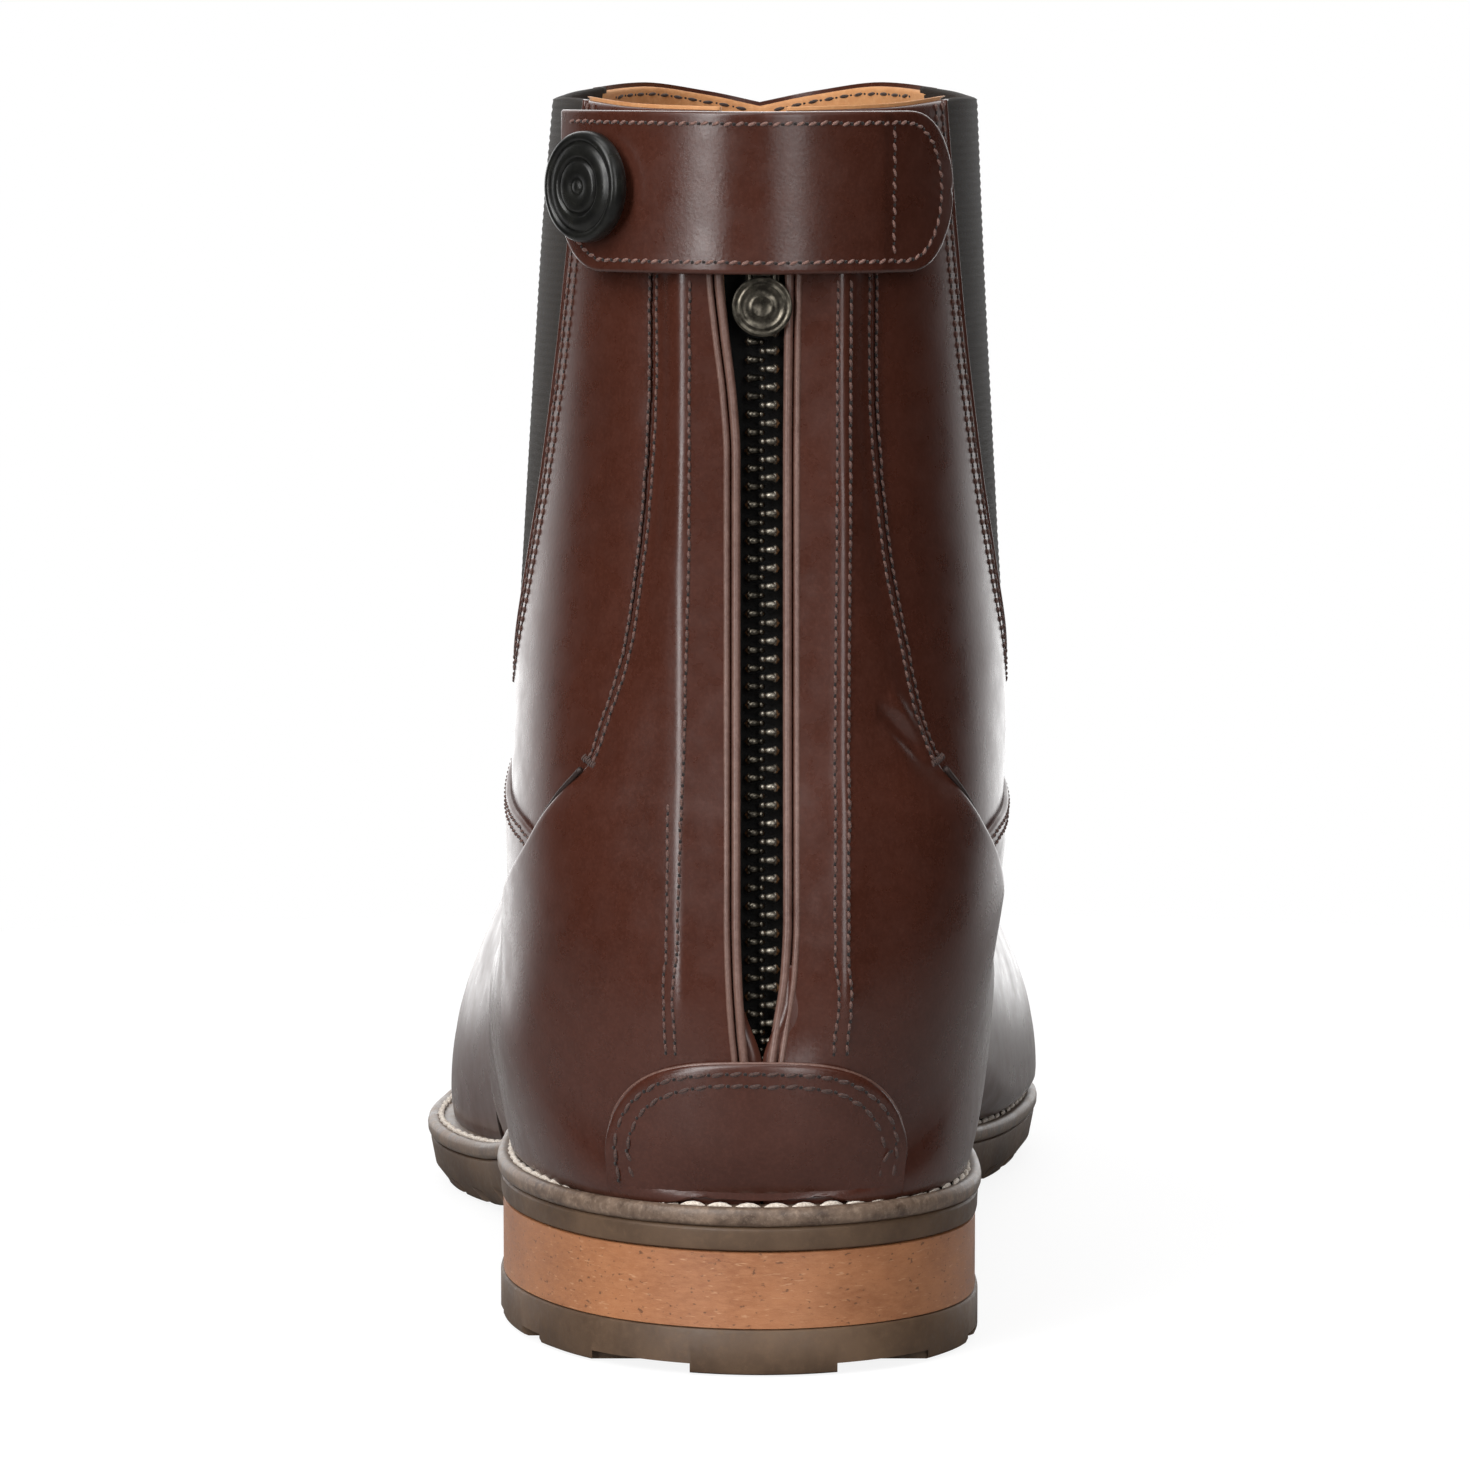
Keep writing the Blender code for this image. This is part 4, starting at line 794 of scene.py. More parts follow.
def ring_faces(rows, columns, closed=False):
    """Four-cornered faces from each ring of points to the next, and from the last to the first if closed."""
    faces = []
    for i in range(rows if closed else rows - 1):
        here, there = i * columns, (i + 1) % rows * columns
        for j in range(columns):
            k = (j + 1) % columns
            faces.append((here + j, here + k, there + k, there + j))
    return faces


def renumbered(faces, first):
    """Faces whose corners count from a later first one."""
    return [tuple(corner + first for corner in face) for face in faces]


def grid_faces(rows, columns, keep=None):
    """Four-cornered faces of a grid of points; keep marks the cells that are there."""
    index = np.arange(rows * columns).reshape(rows, columns)
    faces = np.stack([index[:-1, :-1], index[1:, :-1], index[1:, 1:], index[:-1, 1:]], axis=-1)
    if keep is not None:
        return faces[keep]
    return faces.reshape(-1, 4)


def solid_sheet(name, outer, inner, finish, keep=None):
    """Closed solid between two equal grids of points; keep marks the cells that are there."""
    rows, columns = outer.shape[:2]
    faces = grid_faces(rows, columns, keep)
    count = rows * columns
    sides = np.concatenate([faces[:, [i, (i + 1) % 4]] for i in range(4)])
    key = np.sort(sides, axis=1)
    _, first, uses = np.unique(key, axis=0, return_index=True, return_counts=True)
    border = sides[first[uses == 1]]
    rim = np.stack([border[:, 1], border[:, 0], border[:, 0] + count, border[:, 1] + count], axis=1)
    all_faces = np.concatenate([faces, faces[:, ::-1] + count, rim])
    used = np.unique(all_faces)
    place = np.full(2 * count, -1)
    place[used] = np.arange(len(used))
    verts = np.concatenate([outer.reshape(-1, 3), inner.reshape(-1, 3)])[used]
    return finish_mesh(name, verts, place[all_faces].tolist(), finish)


def lengths_to_border(points):
    """Running length from each point of a grid to the nearest of the grid's borders, row by row."""
    across = np.linalg.norm(np.diff(points, axis=1), axis=2)
    from_left = np.concatenate([np.zeros((len(points), 1)), np.cumsum(across, axis=1)], axis=1)
    from_right = from_left[:, -1:] - from_left
    along = np.linalg.norm(np.diff(points, axis=0), axis=2)
    from_low = np.concatenate([np.zeros((1, points.shape[1])), np.cumsum(along, axis=0)], axis=0)
    from_high = from_low[-1:] - from_low
    return from_left, from_right, from_low, from_high


def rounded(distance, radius):
    """Drop of a rounded edge at a distance in from it."""
    part = 1 - np.clip(distance / radius, 0, 1)
    return radius * (1 - np.sqrt(np.maximum(1 - part ** 2, 0)))


def fractions(length, step, rim=(0.0, 0.08, 0.22, 0.42, 0.75)):
    """Places from 0 to 1 along a length, close together at both ends."""
    rim = np.array(rim)
    rim = rim[rim < length / 3]
    count = max(int((length - 2 * rim[-1]) / step), 1)
    inside = np.linspace(rim[-1], length - rim[-1], count + 1)
    return np.concatenate([rim[:-1], inside, (length - rim[:-1])[::-1]]) / length


def tube(name, path, radii, finish, sides=10):
    """Round solid along a line of points, with closed ends."""
    path = np.asarray(path, dtype=float)
    radii = np.broadcast_to(np.asarray(radii, dtype=float), (len(path),))
    tangent = unit(np.gradient(path, axis=0))
    side = unit(np.cross(tangent, TUBE_TURN))
    other = np.cross(tangent, side)
    angle = np.linspace(0, 2 * math.pi, sides, endpoint=False)
    ring = (path[:, None] + radii[:, None, None] * (np.cos(angle)[None, :, None] * side[:, None]
                                                    + np.sin(angle)[None, :, None] * other[:, None]))
    end = tuple(range(sides))
    faces = ring_faces(len(path), sides) + [end[::-1]] + renumbered([end], (len(path) - 1) * sides)
    return finish_mesh(name, ring.reshape(-1, 3), faces, finish)


def along(points, step, start=0.0):
    """Points and tangents at even steps of a line's running length."""
    points = np.asarray(points, dtype=float)
    run = running(points)
    count = max(int((run[-1] - start) / step), 1)
    at = start + (np.arange(count) + 0.5) * (run[-1] - start) / count
    place = np.stack([np.interp(at, run, points[:, i]) for i in range(3)], axis=1)
    ahead = np.stack([np.interp(at + 0.3, run, points[:, i]) for i in range(3)], axis=1)
    behind = np.stack([np.interp(at - 0.3, run, points[:, i]) for i in range(3)], axis=1)
    return place, unit(ahead - behind), at / run[-1]


# Half outline of a stitch and of a dark pit, painted shade in a needle hole: place along, girth
SPINDLE = [(-1.0, 0.0), (-0.86, 0.52), (-0.45, 0.9), (0.0, 1.0), (0.45, 0.9), (0.86, 0.52), (1.0, 0.0)]
PIT = [(-1.0, 0.0), (-0.6, 0.8), (0.6, 0.8), (1.0, 0.0)]


def spindles(centre, way, up, length, width, height, outline=SPINDLE, sides=6):
    """Corner points and faces of many small rounded bars in one go."""
    side = unit(np.cross(up, way))
    angle = np.linspace(0, 2 * math.pi, sides, endpoint=False)
    rings = []
    for place, girth in outline[1:-1]:
        sink = -STITCH_SAG * height * place ** 2
        ring = (centre[:, None] + way[:, None] * (place * length / 2)
                + side[:, None] * (np.cos(angle) * girth * width / 2)[None, :, None]
                + up[:, None] * (np.sin(angle) * girth * height / 2 + sink)[None, :, None])
        rings.append(ring)
    first = centre - way * length / 2 - up * STITCH_SAG * height
    last = centre + way * length / 2 - up * STITCH_SAG * height
    verts = np.concatenate([first[:, None]] + rings + [last[:, None]], axis=1)
    per = verts.shape[1]
    faces = []
    levels = len(outline) - 2
    for j in range(sides):
        k = (j + 1) % sides
        faces.append((0, 1 + k, 1 + j))
        for i in range(levels - 1):
            a = 1 + i * sides
            faces.append((a + j, a + k, a + sides + k, a + sides + j))
        a = 1 + (levels - 1) * sides
        faces.append((a + j, a + k, per - 1))
    every = []
    for i in range(len(centre)):
        every += renumbered(faces, per * i)
    return verts.reshape(-1, 3), every


def stitch_row(name, line, ups, finish, pitch=1.6, length=1.3, width=0.5, height=0.5, slant=9.0, seed=1,
               holes=True, slot="leather"):
    """Sews one row of stitches along a line of points on leather, with dark pits between them as painted
    shade in the needle holes.
    """
    place, way, share = along(line, pitch)
    source = np.linspace(0, 1, len(ups))
    up = np.stack([np.interp(share, source, ups[:, i]) for i in range(3)], axis=1)
    up = unit(up - way * (up * way).sum(axis=1)[:, None])
    side = np.cross(up, way)
    chance = np.random.default_rng(seed)
    lean = np.radians(slant + chance.normal(0, SEWN_LEAN, len(place)))[:, None]
    leaning = way * np.cos(lean) + side * np.sin(lean)
    place = place + side * chance.normal(0, SEWN_STRAY, len(place))[:, None]
    verts, faces = spindles(place, leaning, up, length, width, height)
    if not holes:
        dress(finish_mesh(name, verts, faces, finish), slot)
        return
    # near-black pits between the stitches: painted shade in the needle holes
    between = place + way * pitch / 2 - up * HOLE_SINK
    pits, pit_faces = spindles(between, way, up, HOLE_LENGTH, HOLE_WIDTH, HOLE_HEIGHT, PIT)
    made = finish_mesh(name, np.concatenate([verts, pits]), faces + renumbered(pit_faces, len(verts)), finish,
                       second=(STITCH_HOLE_SHADE, len(faces)))
    dress(made, slot)


def on_upper(places, lift, count, swell=None):
    """Line over the upper through places (s, t), with the way out at each point; swell adds to the lift."""
    places = np.asarray(places, dtype=float)
    run = running(upper_surface(places[:, 0], places[:, 1]))
    at = np.linspace(0, run[-1], count)
    s = np.interp(at, run, places[:, 0])
    t = np.interp(at, run, places[:, 1])
    lift = np.full(count, lift)
    if swell is not None:
        lift = lift + swell(s, t)
    return over_upper(s, t, lift), upper_normal(s, t)


def join(name, pieces):
    """One object out of several."""
    with bpy.context.temp_override(active_object=pieces[0], selected_editable_objects=pieces,
                                   selected_objects=pieces):
        bpy.ops.object.join()
    pieces[0].name = name
    return pieces[0]


# Finishes

class Finish:
    """Node tree of one finish. Its patterns lie in the boot's own metres."""

    def __init__(self, name, **sockets):
        self.made = bpy.data.materials.new(name)
        self.made.use_nodes = True
        self.tree = self.made.node_tree
        self.shader = self.tree.nodes["Principled BSDF"]
        self.place = self.tree.nodes.new("ShaderNodeTexCoord").outputs["Object"]
        self.set(self.shader, sockets)

    def set(self, node, sockets):
        """Sets sockets by their names, with _ for a space."""
        for socket, value in sockets.items():
            node.inputs[socket.replace("_", " ")].default_value = value

    def add(self, kind, **sockets):
        node = self.tree.nodes.new("ShaderNode" + kind)
        self.set(node, sockets)
        return node

    def link(self, output, socket):
        self.tree.links.new(output, socket)

    def scaled(self, stretch):
        node = self.add("Mapping", Scale=stretch)
        self.link(self.place, node.inputs["Vector"])
        return node.outputs["Vector"]

    def noise(self, size, detail, roughness, stretch=(1, 1, 1)):
        """Noise whose features are about a size in millimetres."""
        node = self.add("TexNoise", Scale=1 / (size * MM), Detail=detail, Roughness=roughness)
        self.link(self.scaled(stretch), node.inputs["Vector"])
        return node.outputs["Fac"]

    def cells(self, size):
        """Distance to the middle of the nearest cell, for cells of about a size in millimetres."""
        node = self.add("TexVoronoi", Scale=1 / (size * MM))
        self.link(self.place, node.inputs["Vector"])
        return node.outputs["Distance"]

    def span(self, value, low, high, out_low=0.0, out_high=1.0):
        """Value carried from one range to another and held at its ends."""
        node = self.add("MapRange", From_Min=low, From_Max=high, To_Min=out_low, To_Max=out_high)
        self.link(value, node.inputs["Value"])
        return node.outputs["Result"]

    def mix(self, share, first, second):
        """Colour between two, each a colour or an output."""
        node = self.add("Mix")
        node.data_type = "RGBA"
        self.link(share, node.inputs["Factor"])
        for socket, value in ((node.inputs[6], first), (node.inputs[7], second)):
            if isinstance(value, tuple):
                socket.default_value = (*value, 1.0)
            else:
                self.link(value, socket)
        return node.outputs[2]

    def bump(self, height, depth, strength=1.0, under=None):
        """Relief of a depth in millimetres, on top of another relief."""
        node = self.add("Bump", Strength=strength, Distance=depth * MM)
        self.link(height, node.inputs["Height"])
        if under is not None:
            self.link(under, node.inputs["Normal"])
        return node.outputs["Normal"]

    def done(self, colour=None, roughness=None, normal=None):
        for output, socket in ((colour, "Base Color"), (roughness, "Roughness"), (normal, "Normal")):
            if output is not None:
                self.link(output, self.shader.inputs[socket])
        return self.made


def leather_finish(name, deep, middle, light, roughness, pore_depth=0.03, speckled=1.0):
    """Polished full-grain leather: cloudy dye, fine pores, faint pull lines and rubbed patches."""
    made = Finish(name, Specular_IOR_Level=0.5, Coat_Weight=0.1, Coat_Roughness=0.25)
    clouds = made.noise(26.0, 4.0, 0.6)
    mottle = made.noise(2.6, 4.0, 0.65)
    rubbed = made.span(made.noise(11.0, 5.0, 0.7), 0.56, 0.78)
    colour = made.mix(made.span(clouds, 0.34, 0.66), deep, middle)
    colour = made.mix(made.span(mottle, 0.42, 0.75, 0.0, 0.3), colour, light)
    colour = made.mix(made.span(rubbed, 0.0, 1.0, 0.0, 0.14), colour, light)
    gloss = made.span(made.noise(5.5, 4.0, 0.6), 0.3, 0.7, roughness - 0.05, roughness + 0.07)
    speckle = made.noise(0.55, 3.0, 0.7)
    colour = made.mix(made.span(speckle, 0.48, 0.72, 0.0, 0.45 * speckled), colour, light)
    colour = made.mix(made.span(speckle, 0.46, 0.3, 0.0, 0.5 * speckled), colour, deep)
    pull = made.bump(made.noise(9.0, 3.0, 0.5, (1.0, 1.0, 0.45)), 0.07, 0.3)
    grain = made.bump(made.cells(0.62), pore_depth * 0.6, 0.5, pull)
    fine = made.bump(made.noise(0.4, 3.0, 0.6), pore_depth * 0.5, 0.5, grain)
    return made.done(colour, gloss, fine)


def thread_finish(name, dark, light, roughness=0.7):
    """Twisted thread: fine slanting bands."""
    made = Finish(name, Sheen_Weight=0.2, Sheen_Roughness=0.5)
    twist = made.noise(0.35, 2.0, 0.6, (1.0, 1.0, 2.2))
    colour = made.mix(made.span(twist, 0.35, 0.65), dark, light)
    return made.done(colour, made.span(twist, 0.3, 0.7, roughness - 0.08, roughness + 0.1),
                     made.bump(twist, 0.08, 0.7))


def elastic_finish():
    """Ribbed elastic web: woven rows with small gaps between the warps."""
    made = Finish("elastic", Specular_IOR_Level=0.25)
    weave = made.noise(0.5, 2.0, 0.6, (0.5, 0.5, 3.0))
    patch = made.noise(14.0, 3.0, 0.5)
    colour = made.mix(made.span(weave, 0.35, 0.7), (0.0125, 0.0099, 0.008), (0.039, 0.0305, 0.0242))
    colour = made.mix(made.span(patch, 0.35, 0.7, 0.0, 0.3), colour, (0.023, 0.0185, 0.0148))
    return made.done(colour, made.span(weave, 0.3, 0.7, 0.68, 0.9), made.bump(weave, 0.12, 0.7))


def lining_finish(name, deep, middle, light):
    """Undyed lining leather: soft clouds and short fibres."""
    made = Finish(name, Sheen_Weight=0.1, Sheen_Roughness=0.5)
    clouds = made.noise(18.0, 4.0, 0.6)
    fibre = made.noise(0.9, 3.0, 0.7)
    colour = made.mix(made.span(clouds, 0.35, 0.68), deep, middle)
    colour = made.mix(made.span(fibre, 0.45, 0.75, 0.0, 0.5), colour, light)
    grain = made.bump(made.cells(0.8), 0.05, 0.4)
    return made.done(colour, made.span(fibre, 0.3, 0.7, 0.55, 0.75), made.bump(fibre, 0.06, 0.5, grain))


def cloth_finish():
    """Black woven zip tape."""
    made = Finish("zip_cloth", Specular_IOR_Level=0.2)
    weave = made.noise(0.4, 2.0, 0.5, (1.0, 1.0, 2.0))
    colour = made.mix(made.span(weave, 0.35, 0.7), (0.0025, 0.0025, 0.0025), (0.009, 0.0085, 0.008))
    return made.done(colour, made.span(weave, 0.3, 0.7, 0.75, 0.95), made.bump(weave, 0.1, 0.6))


def metal_finish(name, dark, light, roughness, patch=1.6, metallic=1.0):
    """Darkened or painted metal, rubbed brighter in spots."""
    made = Finish(name, Metallic=metallic)
    spots = made.noise(patch, 4.0, 0.65)
    colour = made.mix(made.span(spots, 0.4, 0.7), dark, light)
    return made.done(colour, made.span(spots, 0.3, 0.7, roughness + 0.1, roughness - 0.06),
                     made.bump(made.noise(0.4, 3.0, 0.6), 0.03, 0.4))


def board_finish():
    """Pressed heel board: level fibres, dark flecks and pale scratches."""
    made = Finish("heel_board", Coat_Weight=0.15, Coat_Roughness=0.35)
    fibre = made.noise(0.8, 5.0, 0.75, (0.4, 0.4, 1.2))
    clouds = made.noise(9.0, 4.0, 0.6, (0.6, 0.6, 1.2))
    flecks = made.span(made.noise(0.6, 2.0, 0.5, (0.6, 0.6, 1.1)), 0.64, 0.72)
    scratches = made.span(made.noise(0.5, 2.0, 0.5, (0.25, 0.25, 1.3)), 0.64, 0.74)
    colour = made.mix(made.span(clouds, 0.3, 0.7), (0.27, 0.098, 0.038), (0.42, 0.17, 0.07))
    colour = made.mix(made.span(fibre, 0.4, 0.75, 0.0, 0.6), colour, (0.50, 0.23, 0.105))
    colour = made.mix(made.span(flecks, 0.0, 1.0, 0.0, 0.7), colour, (0.085, 0.035, 0.016))
    colour = made.mix(made.span(scratches, 0.0, 1.0, 0.0, 0.5), colour, (0.62, 0.36, 0.2))
    return made.done(colour, made.span(fibre, 0.3, 0.7, 0.42, 0.6), made.bump(fibre, 0.12, 0.5))


def rubber_finish(name, deep, light, roughness=0.55):
    """Matt rubber with cloudy wear and pale dust."""
    made = Finish(name)
    clouds = made.noise(12.0, 4.0, 0.6)
    dust = made.noise(1.3, 4.0, 0.7)
    colour = made.mix(made.span(clouds, 0.32, 0.68), deep, light)
    colour = made.mix(made.span(dust, 0.5, 0.8, 0.0, 0.35), colour, tuple(min(1.0, c * 1.5) for c in light))
    return made.done(colour, made.span(dust, 0.3, 0.7, roughness - 0.08, roughness + 0.12),
                     made.bump(made.noise(0.7, 3.0, 0.6), 0.05, 0.4))


def welt_finish():
    """Welt leather with a rubbed bronze bloom in fine patches."""
    made = Finish("welt_leather", Coat_Weight=0.1, Coat_Roughness=0.4)
    clouds = made.noise(3.4, 5.0, 0.7)
    fine = made.noise(0.9, 4.0, 0.7)
    colour = made.mix(made.span(clouds, 0.35, 0.68), (0.07, 0.042, 0.028), (0.22, 0.15, 0.105))
    colour = made.mix(made.span(fine, 0.5, 0.78, 0.0, 0.55), colour, (0.40, 0.30, 0.225))
    return made.done(colour, made.span(clouds, 0.3, 0.7, 0.38, 0.6), made.bump(fine, 0.12, 0.5))


LEATHER_BROWNS = ((0.048, 0.0131, 0.0073), (0.062, 0.0172, 0.0097), (0.092, 0.031, 0.0205))
LEATHER = leather_finish("leather", *LEATHER_BROWNS, 0.28)
SMOOTH_LEATHER = leather_finish("smooth_leather", *LEATHER_BROWNS, 0.3, 0.006, 0.25)
# Leather far lighter than the boot's, for the folded lips beside the zip and the counter's piped edge:
# painted highlight on those edges
LIT_EDGE_LEATHER = leather_finish("leather_edge_painted_highlight", (0.10, 0.045, 0.033), (0.155, 0.082, 0.063),
                              (0.25, 0.148, 0.12), 0.42, 0.02)
THREAD = thread_finish("thread", (0.10, 0.044, 0.033), (0.27, 0.145, 0.115))
SEAM_THREAD = thread_finish("seam_thread", (0.055, 0.022, 0.016), (0.165, 0.085, 0.066))
DULL_THREAD = thread_finish("dull_thread", (0.026, 0.011, 0.008), (0.095, 0.046, 0.035))
# Near-black tube along the quarters' plain lower edge: dark edge paint, and painted shade of the gap under
# that edge
DARK_EDGE_AND_SHADE = leather_finish("dark_edge_and_painted_shade", (0.012, 0.005, 0.0035), (0.02, 0.008, 0.0055),
                           (0.035, 0.016, 0.012), 0.6, 0.01)
# Near-black finish of the pits between stitches: painted shade in the needle holes
STITCH_HOLE_SHADE = thread_finish("stitch_hole_painted_shade", (0.006, 0.003, 0.0022), (0.014, 0.006, 0.0045), 0.85)
WELT_THREAD = thread_finish("welt_thread", (0.52, 0.43, 0.35), (0.88, 0.80, 0.71))
DARK_THREAD = thread_finish("lining_thread", (0.02, 0.011, 0.008), (0.06, 0.035, 0.025))
ELASTIC = elastic_finish()
LINING = lining_finish("lining", (0.50, 0.215, 0.075), (0.66, 0.32, 0.13), (0.74, 0.42, 0.20))
INSOLE = lining_finish("insole_leather", (0.40, 0.19, 0.075), (0.54, 0.29, 0.13), (0.63, 0.38, 0.19))
ZIP_CLOTH = cloth_finish()
ANTIQUE = metal_finish("antique_metal", (0.035, 0.031, 0.025), (0.15, 0.134, 0.106), 0.34)
# Brighter copy of the teeth's metal for the medial row: painted light; the lateral row takes the darker
# antique finish as painted shade
LIT_TEETH_METAL = metal_finish("teeth_metal_painted_light", (0.12, 0.108, 0.088), (0.34, 0.31, 0.26), 0.4)
BLACK_METAL = metal_finish("black_metal", (0.006, 0.006, 0.0055), (0.022, 0.022, 0.019), 0.3, 3.0, 0.3)
BOARD = board_finish()
RUBBER = rubber_finish("rubber", (0.064, 0.035, 0.0185), (0.13, 0.077, 0.043))
WELT = welt_finish()


# Sole

def sole_loops(levels, count, end=None):
    """Closed loops round the sole, one for each level of heel inset, forefoot inset and height."""
    loops = []
    for heel_inset, fore_inset, height in levels:
        outline = Outline(heel_inset, fore_inset)
        u = np.linspace(0, 1, count)
        if end is None:
            stations = outline.start + (outline.end - outline.start) * (1 - np.cos(math.pi * u)) / 2
        else:
            stations = outline.start + (end - outline.start) * (1 - np.cos(math.pi / 2 * u))
        left = outline.x(stations, -1)
        right = outline.x(stations, 1)
        lateral = np.stack([left, stations, height(stations, left)], axis=1)
        medial = np.stack([right, stations, height(stations, right)], axis=1)
        loops.append(np.concatenate([lateral, medial[::-1]]))
    return np.array(loops)


def sole_solid(name, levels, count, finish, ring=False, end=None):
    """Layer of the sole built up from loops: a plate with closed faces, or a ring."""
    loops = sole_loops(levels, count, end)
    rows, columns = loops.shape[:2]
    faces = ring_faces(rows, columns, ring)
    if not ring:
        cap = [(j, j + 1, columns - 2 - j, columns - 1 - j) for j in range(count - 1)]
        faces += cap + renumbered(cap, (rows - 1) * columns)
    return finish_mesh(name, loops.reshape(-1, 3), faces, finish, smooth=False)


def soften(made, degrees=38.0):
    """Smooth shading that keeps the edges sharper than an angle."""
    made.data.shade_smooth()
    made.data.set_sharp_from_angle(angle=math.radians(degrees))
    return made


def cut_boxes(made, rows):
    """Cuts boxes out of a piece: centre, size and turn about Z of each."""
    work = bmesh.new()
    for centre, size, turn in rows:
        place = (Matrix.Translation(to_metres(np.array(centre)).tolist())
                 @ Matrix.Rotation(math.radians(turn), 4, "Z")
                 @ Matrix.Diagonal([value * MM for value in size] + [1]))
        bmesh.ops.create_cube(work, size=1.0, matrix=place)
    mesh = bpy.data.meshes.new("boxes")
    work.to_mesh(mesh)
    work.free()
    cut_away(made, bpy.data.objects.new("boxes", mesh))


def cut_away(made, cutter):
    """Cuts one piece out of another and throws the cutter away."""
    bpy.context.scene.collection.objects.link(cutter)
    cut = made.modifiers.new("cut", "BOOLEAN")
    cut.operation = "DIFFERENCE"
    cut.solver = "EXACT"
    cut.object = cutter
    evaluated = made.evaluated_get(bpy.context.evaluated_depsgraph_get())
    mesh = bpy.data.meshes.new_from_object(evaluated)
    made.modifiers.clear()
    made.data = mesh
    bpy.data.objects.remove(cutter, do_unlink=True)


def hollow_breast(made):
    """Rounds the heel's front face inwards."""
    work = bmesh.new()
    centre = np.array([0.0, HEEL_BREAST + BREAST_HOLLOW_RADIUS - BREAST_HOLLOW, LIFT_TOP])
    bmesh.ops.create_cone(work, cap_ends=True, segments=256, radius1=BREAST_HOLLOW_RADIUS * MM,
                          radius2=BREAST_HOLLOW_RADIUS * MM, depth=3 * STACK_TOP * MM,
                          matrix=Matrix.Translation(to_metres(centre).tolist()))
    mesh = bpy.data.meshes.new("breast")
    work.to_mesh(mesh)
    work.free()
    cut_away(made, bpy.data.objects.new("breast", mesh))


def lug_grooves():
    """Notches between the forefoot's edge lugs, and bars across its middle."""
    rows = []
    down = LUG_DEPTH - CUTTER_HEIGHT / 2
    length = LUG_REACH + CUTTER_OVERRUN
    for k in range(EDGE_NOTCHES):
        station = EDGE_NOTCH_START + LUG_PITCH * k
        for side in (-1, 1):
            edge = float(SOLE.x(station, side))
            middle = edge - side * (LUG_REACH - CUTTER_OVERRUN) / 2
            height = float(outsole_bottom(station, edge)) + down
            size = (length, EDGE_NOTCH_WIDTH, CUTTER_HEIGHT)
            rows.append(((middle, station, height), size, side * LUG_TURN))
    for k in range(BAR_GROOVES):
        station = BAR_GROOVE_START + LUG_PITCH * k
        left = float(SOLE.x(station, -1)) + length
        right = float(SOLE.x(station, 1)) - length
        height = float(outsole_bottom(station)) + down
        size = (max(right - left, CUTTER_HEIGHT), BAR_GROOVE_WIDTH, CUTTER_HEIGHT)
        rows.append((((left + right) / 2, station, height), size, 0))
    return rows


def heel_grooves():
    """Notches in the tread of the heel lift."""
    height = HEEL_LUG_DEPTH - CUTTER_HEIGHT / 2
    return [((x, station, height), (width, length, CUTTER_HEIGHT), 0)
            for x, station, width, length in HEEL_NOTCHES]


def above_welt(rise):
    return lambda station, x: welt_top(station, x) + rise


def above_bottom(rise):
    return lambda station, x: outsole_bottom(station, x) + rise


def level(height):
    return lambda station, x: np.full(np.shape(station), float(height))


